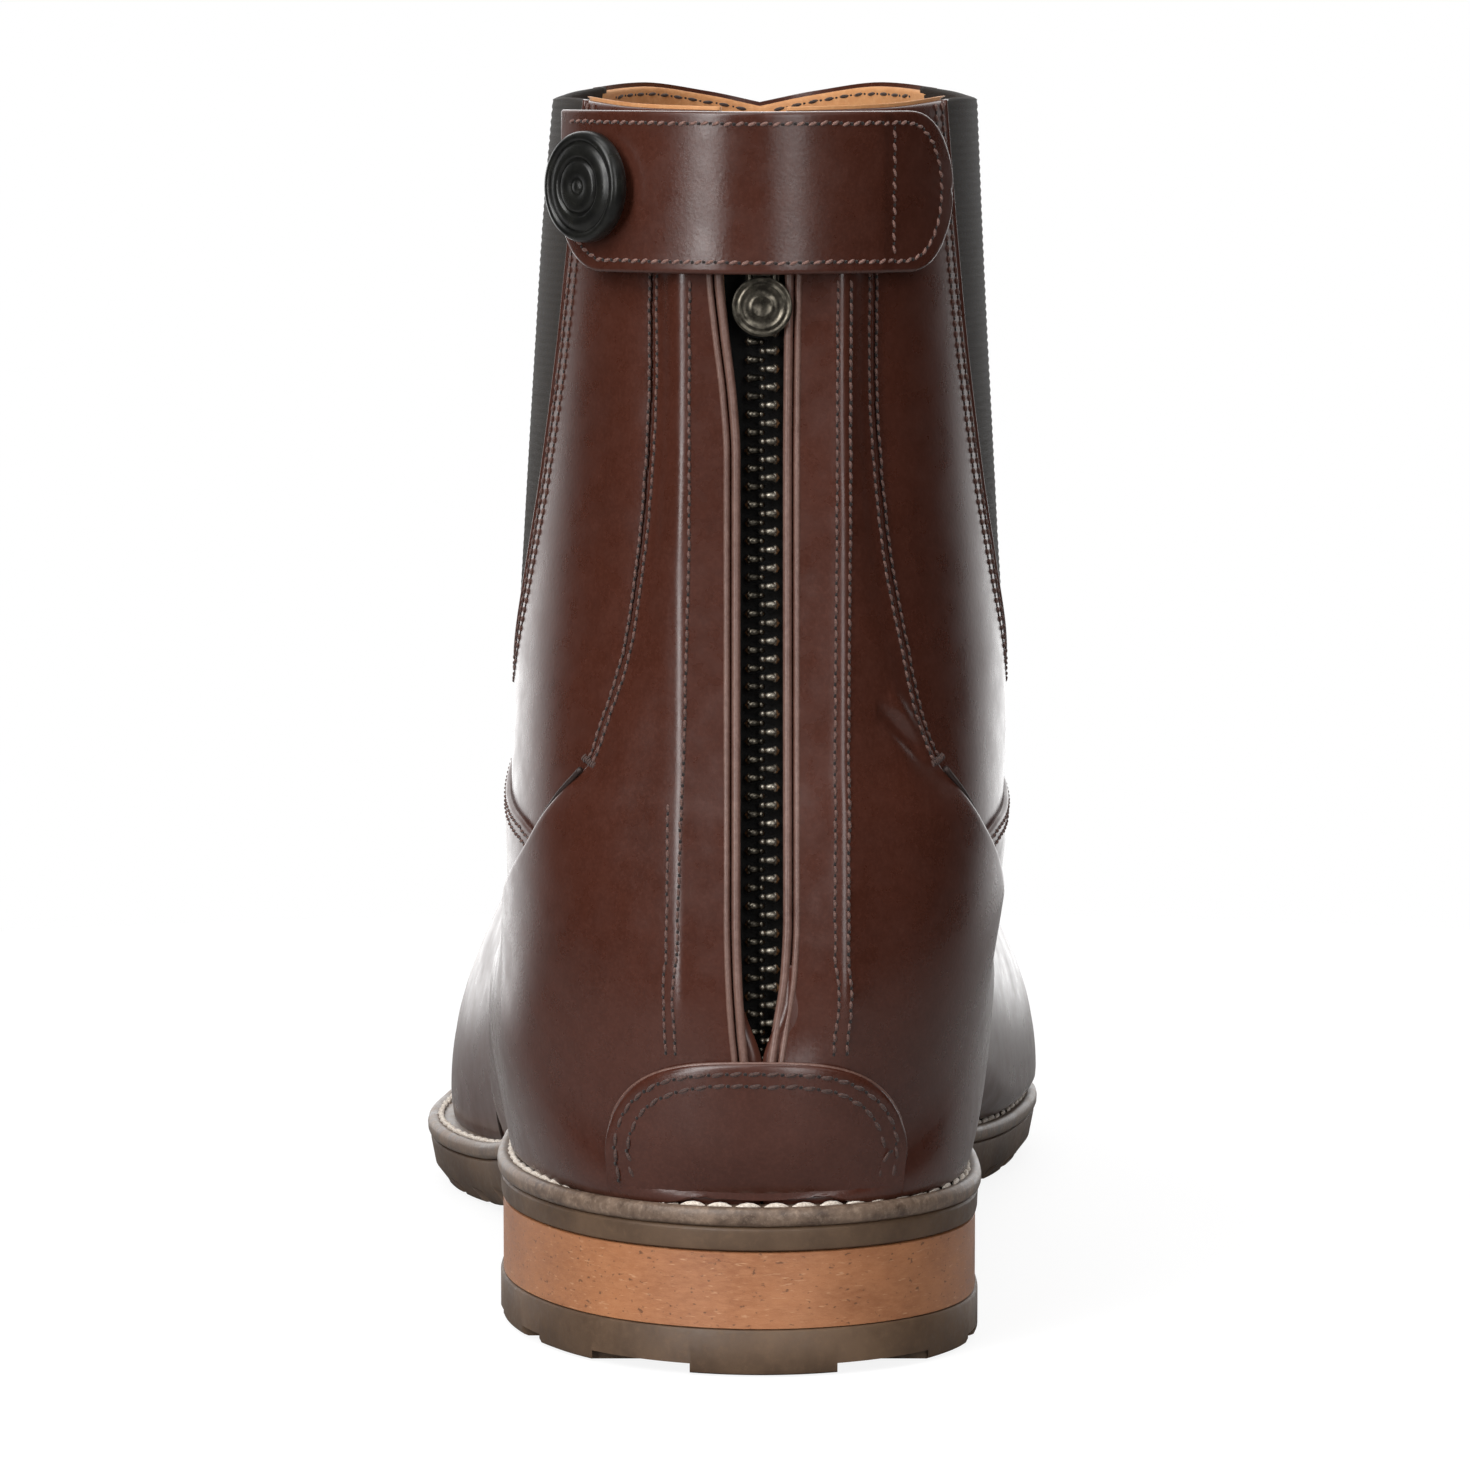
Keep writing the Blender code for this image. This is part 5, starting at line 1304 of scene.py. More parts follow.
def build_sole():
    """Outsole, welt with its stitches, insole, heel stack and heel lift."""
    under = -WELT_THICKNESS
    taper = OUTSOLE_TAPER
    outsole = sole_solid("outsole_rubber", [
        (0.9, taper + 0.9, above_bottom(0.0)),
        (0.35, taper + 0.3, above_bottom(0.3)),
        (0.2, taper, above_bottom(0.9)),
        (0.1, 0.9, above_bottom(3.1)),
        (0.1, 0.15, above_welt(under - 0.9)),
        (0.25, 0.2, above_welt(under - 0.35)),
        (0.7, 0.7, above_welt(under)),
    ], 150, RUBBER)
    cut_boxes(outsole, lug_grooves())
    dress(soften(outsole), "rubber", "outsole")

    inner_heel = FEATHER_HEEL + WALL + 0.2
    inner_fore = FEATHER_FORE + WALL + 0.2
    welt = sole_solid("welt_strip", [
        (0.35, 0.35, above_welt(under)),
        (-0.15, -0.15, above_welt(under + 0.3)),
        (-0.35, -0.35, above_welt(under + 0.8)),
        (-0.4, -0.4, above_welt(-1.1)),
        (-0.25, -0.25, above_welt(-0.5)),
        (0.15, 0.15, above_welt(-0.1)),
        (0.7, 0.7, above_welt(0.0)),
        (1.2, 1.2, above_welt(-0.12)),
        (1.7, 1.8, above_welt(-0.4)),
        (2.3, 2.6, above_welt(-0.35)),
        (2.9, 3.3, above_welt(-0.05)),
        (FEATHER_HEEL + 0.8, FEATHER_FORE + 0.8, above_welt(0.05)),
        (inner_heel, inner_fore, above_welt(0.0)),
        (inner_heel, inner_fore, above_welt(under)),
    ], 190, WELT, ring=True)
    dress(soften(welt, 60), "welt_leather", "welt")

    loop = sole_loops([(1.75, 1.9, above_welt(0.02))], 400)[0]
    line = np.vstack([loop, loop[:1]])
    apart = np.concatenate([[True], np.linalg.norm(np.diff(line, axis=0), axis=1) > 1e-3])
    line = line[apart]
    ups = np.tile([0.0, 0.0, 1.0], (len(line), 1))
    stitch_row("welt_stitches", line, ups, WELT_THREAD, 4.1, 4.0, 1.05, 1.0, 7.0, 3, False, "welt_leather")

    insole = sole_solid("insole_board", [
        (inner_heel + 0.5, inner_fore + 0.5, above_welt(under + 0.2)),
        (inner_heel + 0.4, inner_fore + 0.4, above_welt(INSOLE_PROUD - 0.5)),
        (inner_heel + 0.9, inner_fore + 0.9, above_welt(INSOLE_PROUD)),
    ], 120, INSOLE)
    dress(soften(insole), "insole_leather", "insole")

    stack = sole_solid("heel_stack_board", [
        (0.75, 0.75, level(LIFT_TOP)),
        (0.52, 0.52, level(LIFT_TOP + 0.12)),
        (0.5, 0.5, level(STACK_TOP - 0.12)),
        (0.75, 0.75, level(STACK_TOP)),
    ], 90, BOARD, end=HEEL_BREAST)
    hollow_breast(stack)
    dress(soften(stack), "heel_board", "heel_stack")

    lift = sole_solid("heel_lift_rubber", [
        (1.0, 1.0, level(0.0)),
        (0.4, 0.4, level(0.25)),
        (0.1, 0.1, level(0.9)),
        (0.1, 0.1, level(LIFT_TOP - 0.5)),
        (0.35, 0.35, level(LIFT_TOP - 0.12)),
        (0.8, 0.8, level(LIFT_TOP - 0.02)),
    ], 90, RUBBER, end=HEEL_BREAST)
    hollow_breast(lift)
    cut_boxes(lift, heel_grooves())
    dress(soften(lift), "rubber", "heel_lift")


# Upper

def gore_outline(shrink, count=60):
    """Rounded V of a gore from the side: station and height, from its back corner to its front one."""
    u = np.linspace(0, 1, count) ** 1.6
    height = GORE_TIP + (BACK_TOP + 6 - GORE_TIP) * u + shrink
    reach = GORE_HALF_WIDTH * ((height - shrink - GORE_TIP) / (BACK_TOP - GORE_TIP)) ** GORE_ROUNDNESS
    half = np.stack([GORE_CENTRE - np.maximum(reach - shrink, 0.0), height], axis=1)
    other = np.stack([2 * GORE_CENTRE - half[:, 0], half[:, 1]], axis=1)
    return np.concatenate([half[::-1], other[1:]])


def inside_gore(y, z, shrink=0.0):
    """How far a point seen from the side lies inside the gore's outline, in half widths."""
    height = np.clip((z - shrink - GORE_TIP) / (BACK_TOP - GORE_TIP), 0, None)
    reach = GORE_HALF_WIDTH * height ** GORE_ROUNDNESS - shrink
    return reach - np.abs(y - GORE_CENTRE)


def nearest_on_line(line, points):
    """Nearest points of a flat line of points."""
    start, step = line[:-1], np.diff(line, axis=0)
    out = []
    for point in points:
        share = np.clip(((point - start) * step).sum(1) / (step ** 2).sum(1), 0, 1)
        foot = start + step * share[:, None]
        out.append(foot[int(np.argmin(((foot - point) ** 2).sum(1)))])
    return np.array(out)


def collar_fold(s):
    """Drop of the leather's rounded top edge."""
    return rounded((2.0 - s) * (BACK_TOP - HEEL_SEAT), 0.9)


def slit_ends(sections, side):
    """Places around where the upper ends beside the zip, section by section."""
    s, t = pairs(sections, side * np.linspace(0.9, 1.0, 120))
    ends = []
    for row, places in zip(upper_surface(s, t), np.abs(t)):
        wanted = zip_gap(row[-1, 2], side) + GAP
        ends.append(np.interp(-wanted, -np.abs(row[:, 0]), places))
    return np.where(sections > 1, ends, 1.0)


def build_lining_stitches():
    """Dark stitches along the top of the lining's two front lobes."""
    for side, name in SIDES:
        around = side * np.linspace(0.02, LINING_STITCH_END, 80)
        places = np.stack([np.full(80, 2 - LINING_STITCH_DROP), around], axis=1)
        line, out = on_upper(places, -WALL - STITCH_PROUD, 160)
        stitch_row("lining_stitches_" + name, line, -out, DARK_THREAD, 2.7, 2.0, 0.55, 0.45, 4.0, 61)


def build_upper():
    """Leather outside and lining inside, both open at the gores, the slit and the collar."""
    foot_rows = np.linspace(0, 1, 120)[:-1]
    rim = 2 - np.array([0.9, 0.5, 0.25, 0.1, 0.0]) / (BACK_TOP - HEEL_SEAT)
    shaft_rows = np.concatenate([np.linspace(1, rim[0], 100)[:-1], rim])
    even = np.linspace(-1, 1, 141)
    s, t = pairs(np.concatenate([foot_rows, shaft_rows]), np.sign(even) * (1 - (1 - np.abs(even)) ** 1.2))
    for side in (-1, 1):
        ends = slit_ends(s[:, 0], side)
        t = np.where(np.sign(t) == side, t * ends[:, None], t)
    points = upper_surface(s, t)
    within = (inside_gore(points[..., 1], points[..., 2]) > 0) & (s > 1.05)
    keep = ~(within[:-1, :-1] & within[1:, :-1] & within[1:, 1:] & within[:-1, 1:])
    touches = np.zeros(s.shape, dtype=bool)
    for rows in (slice(None, -1), slice(1, None)):
        for columns in (slice(None, -1), slice(1, None)):
            touches[rows, columns] |= keep
    outline = gore_outline(0.0)
    top = s > 1.999
    for side in (-1, 1):
        edge = within & touches & (np.sign(t) == side) & ~top
        wanted = nearest_on_line(outline, points[edge][:, 1:])
        placed = find_on_upper(side, (1, 2), wanted, (1.2, 2.0), (0.2, 0.9))
        s[edge] = placed[:, 0]
        t[edge] = placed[:, 1]
    surface = upper_surface(s, t)
    normal = upper_normal(s, t)
    drop = collar_fold(s)[..., None]
    sunk = UNDER_QUARTER * ease(0.84, 0.92, np.abs(t)) * ease(46, 54, surface[..., 2])
    sunk = sunk * (1 - ease(1.97, 1.99, s))
    outer = surface - normal * np.maximum(drop, sunk[..., None])
    middle = surface - normal * np.maximum(1.0, drop + 0.1)
    leather = solid_sheet("upper_leather", outer, middle, LEATHER, keep)
    dress(leather, "leather", "upper")
    front = 1 - ease(*LINING_FRONT, np.abs(t))
    lower = 1 + (s - 1) * (1 - LINING_DROP * front * (s > 1))
    rim = np.zeros(surface.shape)
    rim[..., 2] = LINING_PROUD * (1 - front) * ease(1.97, 2.0, s)
    surface = upper_surface(lower, t) + rim
    normal = upper_normal(lower, t)
    middle = surface - normal * np.maximum(1.0, drop + 0.1)
    inner = surface - normal * (WALL - 0.55 * collar_fold(s)[..., None])
    lining = solid_sheet("upper_lining", middle - normal * 0.05, inner, LINING, keep)
    dress(lining, "leather")
    build_lining_stitches()


def build_gores():
    """Ribbed elastic in the windows, with level ribs standing out of the web."""
    for side, name in SIDES:
        rows = 480
        columns = 44
        sections = np.linspace(1.0, 2.0, rows)
        s, t = pairs(sections, side * np.linspace(0.2, 0.9, 160)[::side])
        points = upper_surface(s, t)
        inside = inside_gore(points[..., 1], points[..., 2], -GORE_TUCK)
        grid_t = []
        grid_s = []
        for i in range(rows):
            reach = np.where(inside[i] > 0)[0]
            if len(reach) < 2:
                continue
            grid_t.append(np.linspace(t[i, reach[0]], t[i, reach[-1]], columns))
            grid_s.append(np.full(columns, sections[i]))
        s = np.array(grid_s)
        t = np.array(grid_t)
        height = upper_surface(s, t)[..., 2]
        rib = RIB_HEIGHT * np.abs(np.sin(math.pi * height / RIB_PITCH))
        near, far = GORE_LAYER
        top = rounded((2.0 - s) * (BACK_TOP - HEEL_SEAT), 0.5)
        outer = over_upper(s, t, near - 0.1 + rib - top)
        inner = over_upper(s, t, np.full(s.shape, far + 0.1) + top * 0.5)
        dress(solid_sheet("gore_web_" + name, outer, inner, ELASTIC), "elastic", "gore_" + name)


def gore_edge(side, shift, low=0.0, count=220):
    """Line over the upper along a gore's border, moved out by a distance."""
    outline = gore_outline(-shift, 90)
    outline = outline[outline[:, 1] < BACK_TOP + 2.6]
    places = find_on_upper(side, (1, 2), outline, (1.2, 2.0), (0.15, 0.92))
    return on_upper(places, low, count)


def build_gore_edges():
    """Folded leather edge and two rows of stitches round each gore."""
    for side, name in SIDES:
        line, _ = gore_edge(side, 0.35, -0.25)
        dress(tube("gore_fold_" + name, line, 0.5, LEATHER), "leather")
        for row, shift in enumerate(GORE_STITCH_ROWS):
            line, ups = gore_edge(side, shift, 0.1)
            stitch_row("gore_stitches_%s_%d" % (name, row), line, ups, SEAM_THREAD, seed=5 + row)


def eased_rows(points, share, passes=60):
    """Grid with the rows smoothed along its columns, each point by its share."""
    smooth = points.copy()
    for _ in range(passes):
        smooth[1:-1] = (smooth[:-2] + 2 * smooth[1:-1] + smooth[2:]) / 4
    return points + (smooth - points) * share[..., None]


def shifted_round(places, side, shift):
    """Places moved round the upper, towards the back, by a length."""
    moved_on = places.copy()
    moved_on[:, 1] -= side * PROBE
    step = upper_surface(moved_on[:, 0], moved_on[:, 1]) - upper_surface(places[:, 0], places[:, 1])
    pace = np.maximum(np.linalg.norm(step, axis=1) / PROBE, LEAST_PACE)
    moved_on[:, 1] = places[:, 1] + side * shift / pace
    return moved_on


def quarter_height(height):
    """Height of a quarter's leather over the upper, away from its edges."""
    return QUARTER_LAYER[1] + (SHAFT_QUARTER_LIFT - QUARTER_LAYER[1]) * ease(*QUARTER_THIN_SPAN, height)


def quarter_face(s, t):
    """Height of a quarter's outer face over the upper, with its folds."""
    return quarter_height(upper_surface(s, t)[..., 2]) + back_swell(s, t)


def seam_edge(side):
    """Outer edge of a back quarter as places (s, t), from the collar down to the sole."""
    column = 1 if side < 0 else 2
    seen_behind = [(row[column], row[0]) for row in QUARTER_EDGE]
    seen_beside = [(row[0], row[column]) for row in QUARTER_SIDE_EDGE]
    behind = find_on_upper(side, (0, 2), seen_behind, (1.0, 2.0), (0.5, 1.0))
    beside = find_on_upper(side, (1, 2), seen_beside, (0.4, 1.6), (0.4, 1.0))
    sole = math.acos(2 * (QUARTER_SOLE_STATION - FEATHER.start) / (FEATHER.end - FEATHER.start) - 1) / math.pi
    places = np.vstack([[(2.0, behind[0, 1])], behind, beside, [(sole, side)]])
    line = open_spline(upper_surface(places[:, 0], places[:, 1]), 160)
    return nearest_on_upper(side, line)


def build_quarters():
    """Raised back quarters with a skived outer edge and a folded edge along the zip."""
    for side, name in SIDES:
        edge = seam_edge(side)
        order = np.argsort(edge[:, 0])
        edge_s = edge[order, 0]
        edge_t = np.abs(edge[order, 1])
        foot_rows = np.linspace(edge_s[0] + 0.012, 1, 90)[:-1]
        sections = np.concatenate([foot_rows, np.linspace(1, QUARTER_TOP, 120)])
        columns = fractions(60.0, 1.0, (0.0, 0.1, 0.3, 0.6, 1.1))
        fine_s, fine_t = pairs(sections, np.linspace(0.45, 1.0, 160))
        lines = upper_surface(fine_s, side * fine_t)
        rows = []
        for i, section in enumerate(sections):
            outer = float(np.interp(section, edge_s, edge_t))
            height = float(back_height(section))
            bare = zip_gap(height, side) + FLAP_EDGE
            bare *= float(ease(SLIT_BOTTOM - 12, SLIT_BOTTOM - 4, height))
            seat = lines[i, -1, 2] if section < 1 else HEEL_SEAT
            inner = float(np.interp(-(seat + QUARTER_SEAT), -lines[i, :, 2], fine_t[i]))
            if section >= 1:
                beside = float(np.interp(-max(bare, GAP), -np.abs(lines[i, :, 0]), fine_t[i]))
                inner = min(inner, beside)
            outer = min(outer, inner - 0.004)
            rows.append(outer + (inner - outer) * columns)
        t = side * np.array(rows)[:, ::side]
        s = np.repeat(sections[:, None], t.shape[1], axis=1)
        far = QUARTER_LAYER[1]
        surface = upper_surface(s, t)
        normal = upper_normal(s, t)
        left, right, low, high = lengths_to_border(surface)
        zip_side, seam_side = (left, right) if side < 0 else (right, left)
        thick = 1 - ease(*QUARTER_THIN_SPAN, surface[..., 2])
        thinned = FEATHER_EDGE + (SHAFT_QUARTER_LIFT - FEATHER_EDGE) * ease(0, FEATHER_REACH, seam_side)
        lift = thinned + (far - thinned) * thick + back_swell(s, t) * ease(0, 4, seam_side)
        lift -= rounded(np.minimum(np.minimum(zip_side, low), high), 0.5)
        lift -= rounded(seam_side, 0.3 + 0.5 * thick)
        if side < 0:
            depth, middle, reach = SIDE_BULGE
            bulge = depth * np.exp(-((surface[..., 2] - middle) / reach) ** 2)
            lift += bulge * ease(*SIDE_BULGE_START, surface[..., 1])
        outer = eased_rows(surface + normal * lift[..., None], np.exp(-((s - 1) / JOINT_SPAN) ** 2))
        inner = surface + normal * np.minimum(QUARTER_BACK, lift - LEAST_SHEET)[..., None]
        made = solid_sheet("quarter_leather_" + name, outer, inner, LEATHER)
        dress(made, "leather", "quarter_" + name)

        edge_height = upper_surface(edge[:, 0], edge[:, 1])[:, 2]
        sewn = edge[edge_height > QUARTER_STITCH_END]
        for row, (shift, rise) in enumerate(QUARTER_SEAM_ROWS):
            line, ups = on_upper(shifted_round(sewn, side, shift), rise, 200)
            stitch_row("quarter_stitches_%s_%d" % (name, row), line, ups, SEAM_THREAD, seed=11 + row)
        # dark tube just outside the plain lower edge: dark edge paint, and painted shade of the step down to
        # the vamp
        plain = edge[edge_height < QUARTER_STITCH_END]
        line, _ = on_upper(shifted_round(plain, side, -0.15), VAMP_LIFT, 200)
        dress(tube("quarter_edge_" + name, line, 0.42, DARK_EDGE_AND_SHADE, 8), "leather")
        tack = shifted_round(np.repeat(sewn[-1:], 20, axis=0), side, np.linspace(-TACK_HALF, TACK_HALF, 20))
        line, ups = on_upper(tack, FEATHER_EDGE + 0.2, 20)
        stitch_row("quarter_tack_" + name, line, ups, DULL_THREAD, 0.42, 1.2, 0.4, 0.5, 86.0, 15, False)


def build_vamp():
    """Vamp over the front of the upper, with its stitched back edge rising over the instep."""
    seam = np.array(VAMP_SEAM)
    sections = []
    around = []
    for side in (-1, 1):
        places = find_on_upper(side, (1, 2), seam, (0.7, 1.9), (0.02, 0.98))
        order = np.argsort(np.abs(places[:, 1]))
        around.append(np.abs(places[order, 1]))
        sections.append(places[order, 0])
    columns = np.concatenate([-np.linspace(1, 0.001, 90) ** 0.9, np.linspace(0.001, 1, 90) ** 0.9])
    rise = fractions(1.0, 0.0085, (0.0, 0.002))
    rows_s = []
    for t in columns:
        half = 0 if t < 0 else 1
        end = float(np.interp(abs(t), around[half], sections[half]))
        rows_s.append(end * np.sin(rise * math.pi / 2) ** 0.9)
    s = np.array(rows_s).T
    t = np.repeat(columns[None, :], s.shape[0], axis=0)
    surface = upper_surface(s, t)
    normal = upper_normal(s, t)
    _, _, _, from_seam = lengths_to_border(surface)
    lift = VAMP_LIFT - rounded(from_seam, 0.6)
    outer = surface + normal * lift[..., None]
    inner = surface - normal * 0.3
    dress(solid_sheet("vamp_leather", outer, inner, SMOOTH_LEATHER), "leather")

    for row, shift in enumerate(VAMP_STITCH_ROWS):
        for half, (side, name) in enumerate(SIDES):
            places_t = np.linspace(0.0, around[half][-2], 120)
            ends = np.interp(places_t, around[half], sections[half])
            places = np.stack([ends - shift / VAMP_SECTION, side * np.maximum(places_t, 0.002)], axis=1)
            line, ups = on_upper(places, VAMP_LIFT + STITCH_PROUD, 260)
            stitch_row("vamp_stitches_%s_%d" % (name, row), line, ups, SEAM_THREAD, seed=21 + row)


# Back of the boot

def build_zip_side_stitches():
    """Stitch rows beside the zip, down to the counter."""
    for (side, name), rows in zip(SIDES, (ZIP_STITCHES_LATERAL, ZIP_STITCHES_MEDIAL)):
        for number, row in enumerate(rows):
            places = find_on_upper(side, (0, 2), row, (1.0, 2.0), (0.6, 1.0))
            line, ups = on_upper(places, STITCH_PROUD, 200, quarter_face)
            stitch_row("zip_side_stitches_%s_%d" % (name, number), line, ups, SEAM_THREAD, seed=31 + number)


def counter_reach(x):
    share = np.clip(np.abs(x) / COUNTER_HALF_WIDTH, 0, 1)
    return (1 - share ** COUNTER_SQUARENESS) ** (1 / COUNTER_SQUARENESS)


def build_counter():
    """D-shaped patch with two rows of stitches along its curved edge."""
    low = HEEL_SEAT + 0.5
    share = fractions(2 * COUNTER_HALF_WIDTH, 0.9, (0.0, 0.05, 0.15, 0.35, 0.7))
    across = (1 - 2 * share) * COUNTER_HALF_WIDTH * 0.9995
    rise = fractions(COUNTER_TOP - low, 0.9)
    wanted = []
    for x in across:
        reach = max(float(counter_reach(x)), 0.04)
        heights = low + (COUNTER_TOP - low) * reach * rise
        wanted.append(np.stack([np.full(len(rise), COUNTER_MIDDLE + x), heights], axis=1))
    wanted = np.array(wanted)
    s = np.zeros(wanted.shape[:2])
    t = np.zeros(wanted.shape[:2])
    for side in (-1, 1):
        mine = across + COUNTER_MIDDLE > 0 if side > 0 else across + COUNTER_MIDDLE <= 0
        spots = wanted[mine].reshape(-1, 2)
        spots[:, 0] = np.where(np.abs(spots[:, 0]) < 0.05, side * 0.05, spots[:, 0])
        placed = find_on_upper(side, (0, 2), spots, (0.8, 1.5), (0.6, 1.0))
        s[mine] = placed[:, 0].reshape(s[mine].shape)
        t[mine] = placed[:, 1].reshape(t[mine].shape)
    near, far = COUNTER_LAYER
    surface = upper_surface(s, t)
    normal = upper_normal(s, t)
    left, right, _, top = lengths_to_border(surface)
    tucked = COUNTER_TUCK * (1 - ease(0, COUNTER_TUCK_RISE, surface[..., 2] - low))
    lift = far - tucked - rounded(np.minimum(np.minimum(left, right), top), 0.8)
    face = (surface + normal * lift[..., None]).transpose(1, 0, 2)
    grid = eased_rows(face, np.exp(-((s.T - 1) / JOINT_SPAN) ** 2), 20)
    back = (surface + normal * (near - 0.6)).transpose(1, 0, 2)
    dress(solid_sheet("counter_leather", grid, back, LEATHER), "leather", "heel_counter")

    for row, inset in enumerate(COUNTER_ROWS):
        half = COUNTER_HALF_WIDTH - inset
        angle = np.linspace(0, math.pi, 121)[1:-1]
        power = 2 / COUNTER_SQUARENESS
        x = COUNTER_MIDDLE + half * np.sign(np.cos(angle)) * np.abs(np.cos(angle)) ** power
        z = low + (COUNTER_TOP - inset - low) * np.sin(angle) ** power
        line = []
        ups = []
        for side in (1, -1):
            mine = x * side > 0.02
            spots = np.stack([x[mine], z[mine]], axis=1)
            placed = find_on_upper(side, (0, 2), spots, (0.8, 1.5), (0.6, 1.0))
            rise = far + STITCH_PROUD if row else far - 0.8
            tucked = COUNTER_TUCK * (1 - ease(0, COUNTER_TUCK_RISE, z[mine] - low))
            line.append(over_upper(placed[:, 0], placed[:, 1], rise - tucked))
            ups.append(upper_normal(placed[:, 0], placed[:, 1]))
        line = np.concatenate(line)
        if row == 0:
            # the piped edge takes the lighter edge finish: painted highlight
            dress(tube("counter_edge", line, 0.3, LIT_EDGE_LEATHER), "leather")
            continue
        stitch_row("counter_stitches_%d" % row, line, np.concatenate(ups), DULL_THREAD, 2.6, 2.0, 0.6,
                   seed=41 + row)


def strap_table():
    """Grid of the strap's face: x positions, heights, points and ways out, without its thickness."""
    half = SLIT_WIDTH / 2 + 0.1
    xs = np.concatenate([np.linspace(STRAP_ENDS[0], -3.0, 46)[:-1], np.linspace(-3.0, 3.0, 13),
                         np.linspace(3.0, STRAP_ENDS[1], 46)[1:]])
    zs = np.linspace(STRAP_BOTTOM - 1, BACK_TOP - 0.1, 17)
    grid_x, grid_z = pairs(xs, zs)
    points = np.zeros(grid_x.shape + (3,))
    ways = np.zeros(grid_x.shape + (3,))
    for side in (-1, 1):
        mine = grid_x < 0 if side < 0 else grid_x >= 0
        x = side * np.maximum(np.abs(grid_x[mine]), half)
        placed = find_on_upper(side, (0, 2), np.stack([x, grid_z[mine]], axis=1), (1.6, 2.0), (0.5, 1.0))
        points[mine] = upper_surface(placed[:, 0], placed[:, 1])
        ways[mine] = upper_normal(placed[:, 0], placed[:, 1])
    middle = np.abs(grid_x) < half
    points[..., 0] = grid_x
    ways[..., 0] = np.where(middle, ways[..., 0] * np.abs(grid_x) / half, ways[..., 0])
    ways = unit(ways)
    lift = STRAP_RISE * np.exp(-(grid_x / STRAP_RISE_WIDTH) ** 2)
    return xs, zs, points + ways * lift[..., None], ways


def sample(table, x, z, lift):
    """Points on the strap's face by two-way interpolation."""
    xs, zs, points, ways = table
    i = np.clip(np.searchsorted(xs, x) - 1, 0, len(xs) - 2)
    j = np.clip(np.searchsorted(zs, z) - 1, 0, len(zs) - 2)
    u = ((x - xs[i]) / (xs[i + 1] - xs[i]))[..., None]
    v = ((z - zs[j]) / (zs[j + 1] - zs[j]))[..., None]

    def blend(grid):
        return ((grid[i, j] * (1 - u) + grid[i + 1, j] * u) * (1 - v)
                + (grid[i, j + 1] * (1 - u) + grid[i + 1, j + 1] * u) * v)

    way = unit(blend(ways))
    return blend(points) + way * np.asarray(lift)[..., None], way


def strap_span(x, inset=0.0):
    """Lowest and highest edge of the strap at x, with its round tip and its rounded lower corner."""
    bottom = STRAP_BOTTOM + inset
    top = STRAP_TOP - inset
    from_tip = np.clip((STRAP_TIP_X - inset - x) / (STRAP_TIP - inset / 2), 0, 1)
    tip = np.sqrt(1 - (1 - from_tip) ** STRAP_TIP_POWER)
    middle = (bottom + top) / 2
    from_end = np.clip((x - STRAP_ENDS[0] - inset * 0.6) * STRAP_END_SPREAD / STRAP_CORNER, 0, 1)
    corner = STRAP_CORNER * (1 - np.sqrt(1 - (1 - from_end) ** 2))
    return middle + (bottom - middle) * tip + corner, middle + (top - middle) * tip


def strap_face(x):
    """Height of the strap's face over the upper at x: its body stands above its tip."""
    body = 1 - ease(STRAP_SEAM_X - 0.9, STRAP_SEAM_X - 0.2, x)
    return STRAP_LAYER[1] - STRAP_STEP + STRAP_STEP * body


def build_strap(table):
    """Strap round the back of the collar, with stitches along its edge and across its seam."""
    share = fractions(STRAP_TIP_X - STRAP_ENDS[0], 0.7, (0.0, 0.02, 0.08, 0.18, 0.32, 0.5, 0.75))
    x = STRAP_TIP_X - 0.02 + (STRAP_ENDS[0] - STRAP_TIP_X) * share
    low, high = strap_span(x)
    rise = fractions(STRAP_TOP - STRAP_BOTTOM, 0.8)
    grid_x = np.repeat(x[None, :], len(rise), axis=0)
    grid_z = low[None, :] + (high - low)[None, :] * rise[:, None]
    face, _ = sample(table, grid_x, grid_z, np.zeros(grid_x.shape))
    left, right, below, above = lengths_to_border(face)
    distance = np.minimum(np.minimum(left, right * STRAP_END_SPREAD), np.minimum(below, above))
    lift = strap_face(grid_x) - rounded(distance, 0.55)
    outer, _ = sample(table, grid_x, grid_z, lift)
    inner, _ = sample(table, grid_x, grid_z, np.minimum(STRAP_LAYER[0], lift - 0.2))
    dress(solid_sheet("strap_leather", outer, inner, LEATHER), "leather", "strap")

    right_x = STRAP_TIP_X - STRAP_INSET - 0.02
    xs = right_x - (right_x - STRAP_ENDS[0] - 1.2) * np.linspace(0, 1, 240) ** 2
    low, high = strap_span(xs, STRAP_INSET)
    rows = [
        (np.concatenate([xs[::-1], xs]), np.concatenate([high[::-1], low])),
        (np.full(160, STRAP_SEAM_X + 0.5), np.linspace(STRAP_BOTTOM + 2.4, STRAP_TOP - 2.4, 160)),
    ]
    for number, (row_x, row_z) in enumerate(rows):
        line, ups = sample(table, row_x, row_z, strap_face(row_x) + STITCH_PROUD)
        stitch_row("strap_stitches_%d" % number, line, ups, THREAD, 1.75, 1.4, 0.52, seed=51 + number,
                   slant=22.0)


def facing(point, outward_direction):
    """Frame at a point in millimetres with its Z along a direction and its X level."""
    z = unit(np.array(outward_direction))
    x = unit(np.cross(np.array([0.0, 0.0, 1.0]), z))
    y = np.cross(z, x)
    placed = Matrix.Identity(4)
    for row in range(3):
        placed[row][0], placed[row][1], placed[row][2] = x[row], y[row], z[row]
    placed.translation = Vector([float(v) for v in point])
    return placed


def moved(placed, points):
    """Points in millimetres carried from a frame to the boot."""
    matrix = np.array(placed)
    return np.asarray(points) @ matrix[:3, :3].T + matrix[:3, 3]


